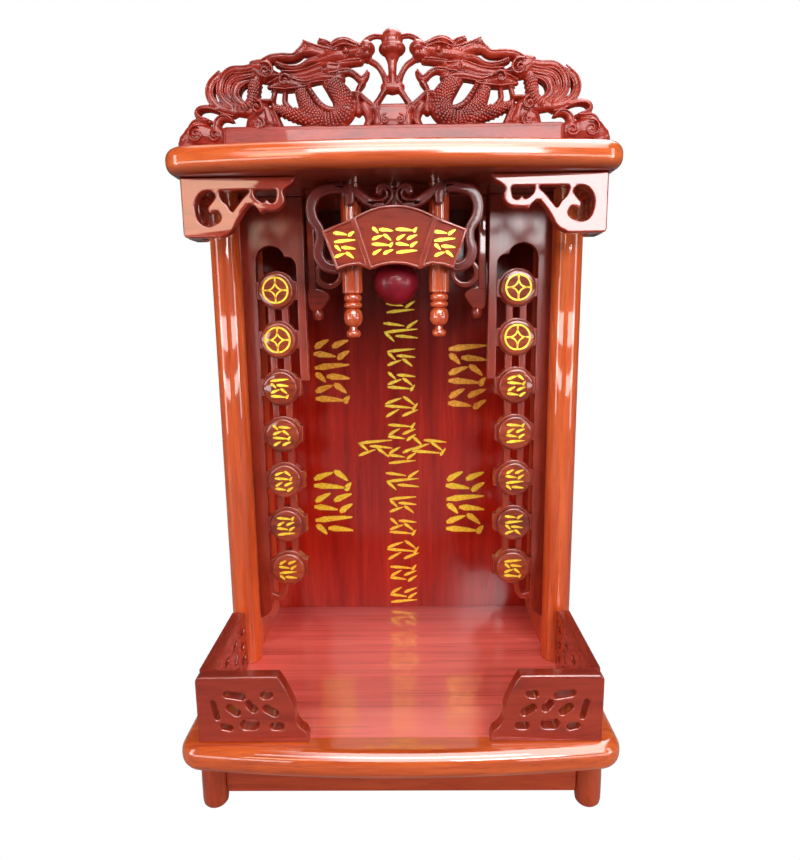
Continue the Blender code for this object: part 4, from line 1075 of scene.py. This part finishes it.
middle_panel = fan_top[1:-1] + [fan_low[3]] + fan_low[4:20]
side_panel = [fan_top[-2], fan_top[-1]] + fan_low[0:4]
panels = [middle_panel, side_panel, [(-x, z) for x, z in side_panel[::-1]]]
loops = [on_plaque(fan_top + fan_low)] + [inset_loop(on_plaque(panel), plaque_rim) for panel in panels]
fan = [sawn(loops, plaque_thick, plaque_low[1], 0.0011),
       sawn([on_plaque([(x * 0.985, z * 0.985 - 0.0004) for x, z in fan_top + fan_low])],
            plaque_thick - plaque_relief, plaque_low[1] + plaque_relief, 0.0006)]
dressed(glued(fan), "plaque_carved", plaque_wood, ["plaque"])
plaque_y = plaque_low[1] + plaque_relief - dab_thick / 2 + dab_sunk
parts = []
for i, (x, z) in enumerate(((-0.052, -0.065), (-0.0125, -0.062), (0.0125, -0.062), (0.052, -0.065))):
    parts += stroke_mark(x, roof_z + z, 0.0225, 0.029, 4, i * 2 + 1, plaque_y, 0.0038)
dressed(glued(parts), "plaque_gold", gold_paint, [], 40)

scroll_low, scroll_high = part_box("plaque_scrollwork")
scroll_thick = scroll_high[1] - scroll_low[1]
core = on_plaque([(x * 0.94, z - 0.0015) for x, z in fan_top])
core += on_plaque([(0.0540, -0.0575), (-0.0540, -0.0575)])
loop_route = [(0.0470, -0.0200, 0.0047), (0.0475, -0.0110, 0.0054), (0.0560, -0.0070, 0.0054),
              (0.0690, -0.0070, 0.0057), (0.0820, -0.0120, 0.0061), (0.0880, -0.0240, 0.0059),
              (0.0860, -0.0370, 0.0059), (0.0795, -0.0480, 0.0054), (0.0785, -0.0590, 0.0057),
              (0.0815, -0.0710, 0.0059), (0.0770, -0.0830, 0.0057), (0.0660, -0.0880, 0.0054),
              (0.0540, -0.0840, 0.0052)]
top_route = [(0.0490, -0.0050, 0.0035), (0.0380, -0.0120, 0.0047), (0.0240, -0.0215, 0.0052),
             (0.0110, -0.0215, 0.0050), (0.0048, -0.0140, 0.0042), (0.0085, -0.0062, 0.0038),
             (0.0150, -0.0060, 0.0035), (0.0165, -0.0105, 0.0035)]
core_board = sawn([core], scroll_thick - 0.0012, scroll_low[1] + 0.0004, 0.0006)
half_scroll = []
scroll_y = scroll_low[1]
for route, behind in ((loop_route, 0), (top_route, 0.0004)):
    strip = [(-x, wall_top + z, half) for x, z, half in route]
    half_scroll.append(sawn([ribbon(strip)], scroll_thick - 2 * behind, scroll_y + behind, 0.0022))
    for share in (-0.52, 0.52):
        line = ribbon(beside(strip, share, 0.0005), 1)
        half_scroll.append(sawn([line], 0.0010, scroll_y + behind - 0.0004, 0.0003))
half_scroll += [soft_block(-0.021, -0.011, scroll_y + 0.0017, scroll_y + 0.0052, plaque_top - 0.012,
                           wall_top - 0.0215),
                soft_block(-0.063, -0.053, scroll_y + 0.0014, scroll_y + 0.0062, wall_top - 0.007, wall_top)]
half_scroll = glued(half_scroll)
bodies = [core_board, half_scroll, mirrored(half_scroll)]
dressed(glued(bodies), "plaque_scrollwork_carved", scroll_wood, ["plaque_scrollwork"])

# %% [markdown]
# Two short posts hang beside the lamp, each with a fluted shaft, two rings, a ball and a small end disc.
# The flutes are cut after turning, by drawing the lines of the shaft inwards in sixteen soft waves. The
# lamp is a ball under a turned holder with a round cap at each end.

# %% Hanging posts and lamp
hang_low, hang_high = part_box("hanging_post_right")
hang_place = centre_of(hang_low, hang_high)
hang_radius = (hang_high[0] - hang_low[0]) / 2
hang_rise = (hang_high[2] - hang_low[2]) / 0.165
hang_profile = bulge(0.72, 0, 0.0080, 8, 0.45) + [(0.34, 0.0120)]
hang_profile += bulge(0.94, 0.0130, 0.0320, 12, 0.50)[1:] + bulge(0.90, 0.0325, 0.0392, 8, 0.62)[1:]
hang_profile += bulge(0.90, 0.0395, 0.0480, 8, 0.62)[1:] + [(0.92, 0.0490), (1.0, 0.0515), (1.0, 0.165)]
hang_line = [(radius * hang_radius, hang_low[2] + z * hang_rise) for radius, z in hang_profile]
flute_count = 16
flute_depth = 0.06
shaft_z = hang_low[2] + 0.0510 * hang_rise
for side, sign in sides:
    piece = turned(hang_line, (sign * hang_place[0], hang_place[1]), 64)
    for i, vert in enumerate(piece.data.vertices):
        dx, dy = vert.co.x - sign * hang_place[0], vert.co.y - hang_place[1]
        if vert.co.z > shaft_z and hypot(dx, dy) > 0.9 * hang_radius:
            deep = flute_depth * (0.5 - 0.5 * cos(flute_count * atan2(dy, dx)))
            vert.co.x -= dx * deep
            vert.co.y -= dy * deep
    dressed(piece, "hanging_post_" + side + "_turned", hanging_wood, ["hanging_post_" + side])

ball_low, ball_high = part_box("lamp_ball")
lamp_radius = (ball_high[0] - ball_low[0]) / 2
lamp_y = centre_of(ball_low, ball_high)[1]
ball_z = roof_z - 0.1015
ball_line = arc(0, ball_z, lamp_radius, -86, 76, 27)
dressed(turned(ball_line, (0, lamp_y), 64), "lamp_ball_glossy", lamp_skin, ["lamp_ball"])
holder_low = ball_high[2] + clearance
holder_line = [(0.0100, holder_low), (0.0118, holder_low + 0.0008), (0.0125, holder_low + 0.0024),
               (0.0125, holder_low + 0.0070), (0.0112, holder_low + 0.0090), (0.0075, holder_low + 0.0104),
               (0.0065, holder_low + 0.0120), (0.0065, wall_top - 0.0044), (0.0090, wall_top - 0.0036),
               (0.0110, wall_top - 0.0028), (0.0110, wall_top)]
dressed(turned(holder_line, (0, lamp_y), 40), "lamp_holder_turned", strip_wood, ["lamp_holder"])

# %% [markdown]
# Beside each couplet board hangs a carved drop: a slim strip, an open ring, a small block and a bead.

# %% Carved drops
drop_low, drop_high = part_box("inner_spandrel_right")
drop_y = drop_low[1]
strip_outer = inner - 0.002
strip_inner = strip_outer - 0.009
drop_z = roof_z - 0.1085
bodies = [soft_block(strip_inner, strip_outer, drop_y, drop_high[1], drop_z, wall_top, 0.0012)]
block = [(strip_outer, drop_z + 0.004), (strip_outer, drop_z - 0.020), (strip_outer - 0.012, drop_z - 0.024),
         (strip_outer - 0.024, drop_z - 0.010), (strip_outer - 0.022, drop_z - 0.001)]
bodies.append(sawn([smooth(block, 5, True)], 0.0100, drop_y + 0.0010, 0.0014))
ring_x = strip_inner - 0.0155
ring_centre = drop_z + 0.020
ring = [arc(ring_x, ring_centre, 0.0175, 0, 352, 44),
        arc(ring_x - 0.001, ring_centre + 0.001, 0.0115, 0, 350, 35)]
bodies.append(sawn(ring, 0.0080, drop_y + 0.0020, 0.0016))
bead = turned(bulge(0.0068, 0, 0.0150, 12, 0.0026), steps=24)
bodies.append(moved(bead, strip_outer - 0.0100, drop_y + 0.0060, drop_z - 0.0350))
carved_pair(glued(bodies), "inner_spandrel", carved_wood)
bpy.data.objects.remove(dab, do_unlink=True)

# %% [markdown]
# The crest is one openwork board: two dragons rear up towards a pearl over a mound of cloud, with their
# manes and tails streaming outwards. Each stroke of the carving is a round rope that follows a route and
# swells to its own width. All ropes are fused by a fine remesh, which also blends their joints as a
# carver's knife would. Routes are in millimetres from the middle and from the roof, with half widths.

# %% Routes of the carving
crest_routes = {
    "end cloud": [(-201.5, 4.0, 9.8), (-193, 8, 13.4), (-183, 7, 12.8)],
    "cloud foot": [(-181, 5, 8.5), (-172, 7.5, 10.4), (-163.5, 4.5, 8.2)],
    "cloud rise": [(-196, 16.5, 5.3), (-192.5, 20.5, 4.8), (-185.5, 21, 4), (-179, 22, 2.5)],
    "cloud tip": [(-170.5, 33, 3.8), (-180, 35, 3.3), (-188, 34, 3.2), (-191.5, 30, 2.9),
                  (-189, 25.5, 3.1), (-183.5, 22.5, 3.8)],
    "hook": [(-173, 14, 4.8), (-172, 20.5, 4.4), (-167, 25, 4), (-161.5, 25, 3.6), (-157.5, 22.5, 2.3)],
    "outer plume": [(-155, 30, 4.8), (-166.5, 33, 4.4), (-175, 40.5, 4.4), (-177.5, 49, 4.2),
                    (-175, 56.5, 4), (-169.5, 62.5, 3.4), (-165.5, 66.5, 2.3)],
    "top plume": [(-132, 71, 3.8), (-142.5, 69, 4), (-154, 68.5, 4), (-162, 63.5, 3.8),
                  (-166.5, 55.5, 3.8), (-167, 48, 3.8), (-163.5, 40.5, 3.8), (-156, 34, 4.4)],
    "middle plume": [(-134, 65, 2.9), (-144.5, 63.5, 3.1), (-153.5, 61, 3.1), (-159, 55, 3.1),
                     (-160, 48, 3.1), (-157, 42.5, 3.3), (-149.5, 35.5, 3.8)],
    "inner plume": [(-137, 59.5, 2.7), (-144, 57.5, 3.4), (-150, 53.5, 4.4), (-152.5, 47, 4.6),
                    (-150, 40.5, 4.4), (-143.5, 35.5, 4.2), (-137, 34, 4.2)],
    "plume base": [(-161, 32, 3.8), (-149.5, 31, 4.8), (-137, 30, 5.7)],
    "tail": [(-132, 59.5, 5.7), (-134.5, 51, 6.5), (-135.5, 43.5, 6.3), (-139, 36.5, 5.3),
             (-145.5, 32, 4.8)],
    "cloud crown": [(-134, 74, 4.4), (-128, 75, 4.4), (-120.5, 75, 4.8)],
    "cloud head": [(-130, 69, 6.7), (-123.5, 65, 8.6), (-116.5, 64.5, 6.2), (-110, 65, 2.3)],
    "cloud leaf": [(-119.5, 53.5, 2.5), (-112, 55, 5.7), (-103.5, 56, 7.8), (-94, 55, 5.4),
                   (-86, 54.5, 3.3), (-80.5, 55.5, 2.5)],
    "ridge": [(-126.5, 74, 3.8), (-117.5, 78.5, 4.8), (-106, 80, 4.8), (-94.5, 80, 4.6), (-88, 84.5, 4.8),
              (-84, 90, 3.3)],
    "rear horn": [(-84.5, 92.5, 2.5), (-77.5, 89.5, 3.4), (-67, 86, 3.8), (-56.5, 83.5, 4.4)],
    "nape": [(-85, 84.5, 4.3), (-77.5, 84.5, 4.8), (-67, 81.5, 4.4)],
    "front horn": [(-69, 93.5, 2.9), (-62, 91.5, 3.5), (-54.5, 86.5, 4.4)],
    "brow": [(-57.5, 87.5, 3.6), (-51.5, 91, 4.8), (-44, 92, 4.6), (-36.5, 89.5, 3.4), (-30.5, 87, 3.3)],
    "muzzle": [(-45, 81.5, 6.1), (-35.5, 84, 6.3), (-27, 85.5, 7.5), (-22.5, 87, 6.3)],
    "nostril": [(-32.5, 79, 3.8), (-24, 80, 4.8)],
    "trunk": [(-29.5, 90, 3.1), (-24, 95, 2.6), (-17, 98, 2.2), (-9.5, 97.5, 2.0)],
    "skull": [(-72, 76.5, 4.6), (-60.5, 78.5, 6.7), (-48, 79.5, 7.3)],
    "upper jaw": [(-52.5, 72, 4.2), (-42, 74, 3.6), (-30.5, 75, 3.3)],
    "jaw curl": [(-62, 68, 7.1), (-52.5, 68.5, 5.7)],
    "lower jaw": [(-52.5, 64.5, 4.6), (-43, 66, 3.3), (-36.5, 63.5, 3.3), (-30, 58.5, 3.8),
                  (-25.5, 61.5, 3.1), (-23.5, 65, 1.9)],
    "beard": [(-29, 55.5, 3.4), (-33, 50, 2.9), (-34.5, 42.5, 2.9), (-34, 35, 3.3), (-33.5, 28, 3.6)],
    "whisker": [(-21, 76, 2.9), (-13.5, 71, 2.8), (-8.5, 63, 2.9), (-6, 55, 3.4)],
    "mane high": [(-111, 73.5, 2.5), (-100.5, 70, 2.9), (-89, 70, 3.4), (-79.5, 75, 3.6), (-71, 76, 3.3)],
    "mane middle": [(-107, 65, 2.9), (-94.5, 63.5, 4.4), (-82.5, 65, 5), (-71, 68.5, 5.7),
                    (-59.5, 71, 6.5)],
    "mane low": [(-97.5, 59.5, 2.9), (-85, 57.5, 3.4), (-72, 60, 3.8), (-59.5, 60.5, 4),
                 (-49, 59.5, 3.6)],
    "neck": [(-61, 56.5, 7.7), (-54.5, 50, 10), (-48.5, 41.5, 11.1), (-47, 31, 11.9), (-54.5, 22.5, 10.3),
             (-67, 20.5, 9.1)],
    "belly": [(-81.5, 52, 2.7), (-76.5, 43.5, 3.4), (-70, 35, 4), (-62, 30.5, 4.2), (-53.5, 30, 3.8)],
    "coil": [(-90, 50, 5.7), (-86.5, 41.5, 7.3), (-81.5, 32, 8.8), (-72.5, 24.5, 9.4), (-63, 20.5, 8.6)],
    "haunch": [(-115, 33, 3.4), (-106, 30.5, 5.2), (-96.5, 27.5, 6.9), (-86, 25, 8), (-74.5, 22, 8.2)],
    "strap": [(-104.5, 47, 2.7), (-105, 39.5, 2.9), (-101.5, 34, 3.3)],
    "side strap": [(-114.5, 49, 2.5), (-116.5, 40.5, 2.7), (-115, 33, 3.3)],
    "tower top": [(-132, 40, 2.6), (-116.5, 40, 2.6)],
    "tower": [(-127.5, 31, 8.6), (-129, 23.5, 11), (-132, 17.5, 12.9)],
    "tower side": [(-123.5, 31, 5.7), (-120.5, 20.5, 7.7)],
    "tower leg": [(-116, 31, 3.3), (-113, 22.5, 3.4), (-110, 14, 4.2)],
    "foreleg": [(-38.5, 45, 2.9), (-32, 44.5, 2.9), (-25, 38.5, 3.3), (-19, 33.5, 3.4)],
    "paw": [(-28.5, 34, 5.2), (-24.5, 29, 5.4), (-23, 21.5, 4.4), (-26, 15, 4)],
    "claw": [(-19, 32, 4), (-15, 26, 3.4), (-14.5, 16.5, 3.8)],
    "pearl arm": [(-7.5, 49, 3.4), (-12.5, 41.5, 3.1), (-16.5, 35, 3.4), (-13.5, 29, 4.2)],
    "mound": [(-7.5, 23.5, 8), (0, 24.5, 9.4)],
    "mound low": [(-7.5, 17.5, 7.7), (0, 17.5, 8.6)],
    "bowl foot": [(0, 81.5, 8.1), (0, 75.5, 5.2)],
    "stem": [(0, 75.5, 4.8), (0, 64.5, 4), (0, 53, 5.2)],
    "trident": [(-6.5, 51.5, 5.4), (0, 50.5, 5.9)],
}
depth_share = {"tail": 0.80, "neck": 1.0, "belly": 0.92, "coil": 0.92, "haunch": 0.85, "skull": 0.95,
               "muzzle": 0.9, "nostril": 0.95, "brow": 0.90, "jaw curl": 0.9, "stem": 0.5, "trident": 0.6,
               "whisker": 0.5, "trunk": 0.34, "hook": 0.7, "tower": 0.9, "tower side": 0.8, "mound": 0.66,
               "mound low": 0.62, "end cloud": 0.97, "cloud foot": 0.93, "cloud head": 0.95,
               "cloud leaf": 0.9, "inner plume": 0.8, "strap": 0.5, "side strap": 0.5, "middle plume": 0.6}
crest_low, crest_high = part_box("crest")
crest_y = (crest_low[1] + crest_high[1]) / 2
crest_half = (crest_high[1] - crest_low[1]) / 2
mm = 0.001
carving_rise = 0.0057
drawn_width = 0.424
crest_stretch = (crest_high[0] - crest_low[0]) / drawn_width
print("routes", len(crest_routes), "crest", crest_low, crest_high)

# %% [markdown]
# A rope is a curve with a round bevel whose radius follows the route, pressed flat to its depth. Its two
# ends are rounded off. Fine ropes laid on the front and back make the raised lines: flutes along manes
# and clouds, spirals in the curls, belly ribs on the coils.


# %% Ropes and raised lines
end_rounding = ((0.5, 0.86), (0.8, 0.6), (0.97, 0.24))


def half_depth_of(name):
    return crest_half * depth_share.get(name, 0.7)


def rope(route, half_depth, steps=5, y=0.0):
    line = smooth(route, steps)
    widest = max(half for _, _, half in line)
    ends = []
    for i, j in ((0, 1), (len(line) - 1, len(line) - 2)):
        x, z, half = line[i]
        run_length = hypot(x - line[j][0], z - line[j][1])
        ux, uz = (x - line[j][0]) / run_length, (z - line[j][1]) / run_length
        ends.append([(x + ux * half * a, z + uz * half * a, half * b) for a, b in end_rounding])
    line = ends[0][::-1] + line + ends[1]
    curve = bpy.data.curves.new("rope", "CURVE")
    curve.dimensions = "3D"
    curve.bevel_depth = mm
    curve.bevel_resolution = 4
    curve.use_fill_caps = True
    spline = curve.splines.new("POLY")
    spline.points.add(len(line) - 1)
    for point, (x, z, half) in zip(spline.points, line):
        point.co = (x * mm, 0, z * mm, 1)
        point.radius = half
    return moved(meshed(curve), 0, y, 0, Matrix.Diagonal((1, half_depth / (widest * mm), 1, 1)))


bedding = 0.97
spiral_steps = 14


def surface_y(half_depth, share):
    return half_depth * (1 - share * share) ** 0.5


def raised_lines(name, shares):
    width = 0.9
    made = []
    for share in shares:
        line = beside(crest_routes[name], share, width, 3)
        for face in (-1, 1):
            made.append(rope(line, width * mm, 2, face * surface_y(half_depth_of(name), share) * bedding))
    return made


def spiral(x, z, radius, turns, start, spin, y):
    line = []
    for i in range(int(turns * spiral_steps) + 1):
        share = i / (turns * spiral_steps)
        angle = radians(start) + spin * 2 * pi * turns * share
        reach = radius * (1 - 0.86 * share)
        line.append((x + reach * cos(angle), z + reach * sin(angle), 1.25 * (1 - 0.3 * share)))
    return [rope(line, 0.0017, 1, face * y) for face in (-1, 1)]


crest_bodies = [rope(route, half_depth_of(name)) for name, route in crest_routes.items()]
crest_lines = []
for name in ("outer plume", "top plume", "middle plume", "inner plume", "mane middle", "cloud leaf",
             "mane low"):
    crest_lines += raised_lines(name, (-0.72, 0.72))
for name in ("mane high", "ridge", "rear horn", "front horn", "beard", "foreleg", "cloud tip", "hook",
             "pearl arm", "whisker", "trunk", "lower jaw", "upper jaw", "tower leg", "claw", "cloud rise"):
    crest_lines += raised_lines(name, (0.35,))
crest_lines += raised_lines("brow", (-0.55, 0.1, 0.6))
crest_lines += raised_lines("jaw curl", (-0.6, 0.5))
curls = [(-191.5, 8.5, 8.6, 1.5, 75, 1, 0.97), (-173, 8.0, 6.0, 1.5, 200, 1, 0.93),
         (-121, 65.5, 8.5, 1.5, 120, -1, 0.95), (-103.5, 57, 6.2, 1.3, 20, 1, 0.9),
         (-131, 33, 6.2, 1.3, 80, -1, 0.9), (-130, 17.5, 6.6, 1.3, 80, -1, 0.9),
         (-7.2, 20.5, 4.8, 1.4, 90, 1, 0.70)]
for x, z, radius, turns, start, spin, share in curls:
    crest_lines += spiral(x, z, radius, turns, start, spin, crest_half * share * bedding)
for x, z, half, nx, nz in across(crest_routes["belly"], 3)[1:-1]:
    rib = [(x + nx * half * s, z + nz * half * s, 0.7) for s in (-0.42, 0, 0.42)]
    for face in (-1, 1):
        crest_lines.append(rope(rib, mm, 1, face * half_depth_of("belly") * 0.90))
print("ropes", len(crest_bodies), "lines", len(crest_lines))

# %% [markdown]
# Small flattened beads in offset rows make the scales. One bead is made and copied, with a row at about
# every two millimetres of the route. Larger beads make the eyes and the knobs of the nose.


# %% Scales and eyes
def bead_at(x, y, z, size_x, size_y, size_z, segments=10, rings=6):
    clear_selection()
    bpy.ops.mesh.primitive_uv_sphere_add(segments=segments, ring_count=rings, radius=1, location=(0, 0, 0))
    return moved(bpy.context.object, x, y, z, Matrix.Diagonal((size_x, size_y, size_z, 1)))


row_gap = 2.1
scale_reach = 0.76
scale_shape = Matrix.Diagonal((0.0015, 0.0009, 0.0015, 1))
first_scale = bead_at(0, 0, 0, 1, 1, 1)
scale_bodies = []
for name, columns in (("neck", 7), ("coil", 6), ("haunch", 4), ("tail", 6)):
    rows = across(crest_routes[name], 9)
    travelled = 0
    row = 0
    for before, here in zip(rows, rows[1:]):
        travelled += hypot(here[0] - before[0], here[1] - before[1])
        if travelled < row_gap:
            continue
        travelled = 0
        row += 1
        x, z, half, nx, nz = here
        for c in range(columns):
            share = (c + 0.5 + 0.5 * (row % 2)) / columns * 1.6 - 0.9
            if abs(share) > scale_reach:
                continue
            for face in (-1, 1):
                y = face * surface_y(half_depth_of(name), share) * 0.98
                scale_bodies.append(moved(twin(first_scale), (x + nx * half * share) * mm, y,
                                          (z + nz * half * share) * mm, scale_shape))
bpy.data.objects.remove(first_scale, do_unlink=True)
face_beads = ((-0.0440, 0.82, 0.0825, (0.0032, 0.0028, 0.0028)),
              (-0.0245, 0.66, 0.0868, (0.0060, 0.0050, 0.0056)),
              (-0.0240, 0.72, 0.0800, (0.0036, 0.0034, 0.0034)))
for face in (-1, 1):
    for x, deep, z, size in face_beads:
        scale_bodies.append(bead_at(x, face * crest_half * deep, z, *size, 16, 10))
print("beads", len(scale_bodies))

# %% [markdown]
# The pearl, its bowl, the bar at the foot and the small bell plate are added in the middle, and a voxel
# remesh fuses the ropes of both dragons with them. The foot is then cut flat where it meets the roof,
# and the fine lines and scales are laid on.

# %% The crest
fuse_size = 0.0007
crest_triangles = 125000
half_side = glued(crest_bodies)
other_side = mirrored(half_side)
pearl = [bead_at(0, 0, 0.0956, 0.0104, 0.0100, 0.0104, 28, 18),
         bead_at(0, 0, 0.0868, 0.0131, 0.0118, 0.0076, 28, 18)]
rail_bar = [soft_block(-half, half, -crest_half * deep, crest_half * deep, -0.010, top, 0.0040)
            for half, deep, top in ((0.166, 1, 0.0155), (0.2115, 0.62, 0.0050))]
bell = [soft_block(-half, half, -crest_half * deep, crest_half * deep, low, high, 0.0030)
        for half, deep, low, high in ((0.0150, 0.70, 0.010, 0.0355), (0.0185, 0.64, 0.008, 0.0265))]
crest_piece = glued([half_side, other_side] + pearl + rail_bar + bell)
pick(crest_piece)
fuse = crest_piece.modifiers.new("fuse", "REMESH")
fuse.mode = "VOXEL"
fuse.voxel_size = fuse_size
soften = crest_piece.modifiers.new("soften", "SMOOTH")
soften.factor = 0.4
soften.iterations = 1
apply_all(crest_piece)
bpy.ops.object.mode_set(mode="EDIT")
bpy.ops.mesh.select_all(action="SELECT")
bpy.ops.mesh.bisect(plane_co=(0, 0, 0.0001 - carving_rise), plane_no=(0, 0, -1), use_fill=True,
                    clear_outer=True)
bpy.ops.object.mode_set(mode="OBJECT")
count = sum(len(face.vertices) - 2 for face in crest_piece.data.polygons)
if count > crest_triangles:
    thin = crest_piece.modifiers.new("thin", "DECIMATE")
    thin.ratio = crest_triangles / count
    apply_all(crest_piece)
fine_side = glued(crest_lines + scale_bodies)
crest_piece = glued([crest_piece, fine_side, mirrored(fine_side)])
moved(crest_piece, 0, crest_y, roof_top_z + clearance + carving_rise,
      Matrix.Diagonal((crest_stretch, 1, 1, 1)))
dressed(crest_piece, "crest_carved", crest_wood, ["crest"], 80)
print("crest faces", len(crest_piece.data.polygons), "from", count, "triangles")
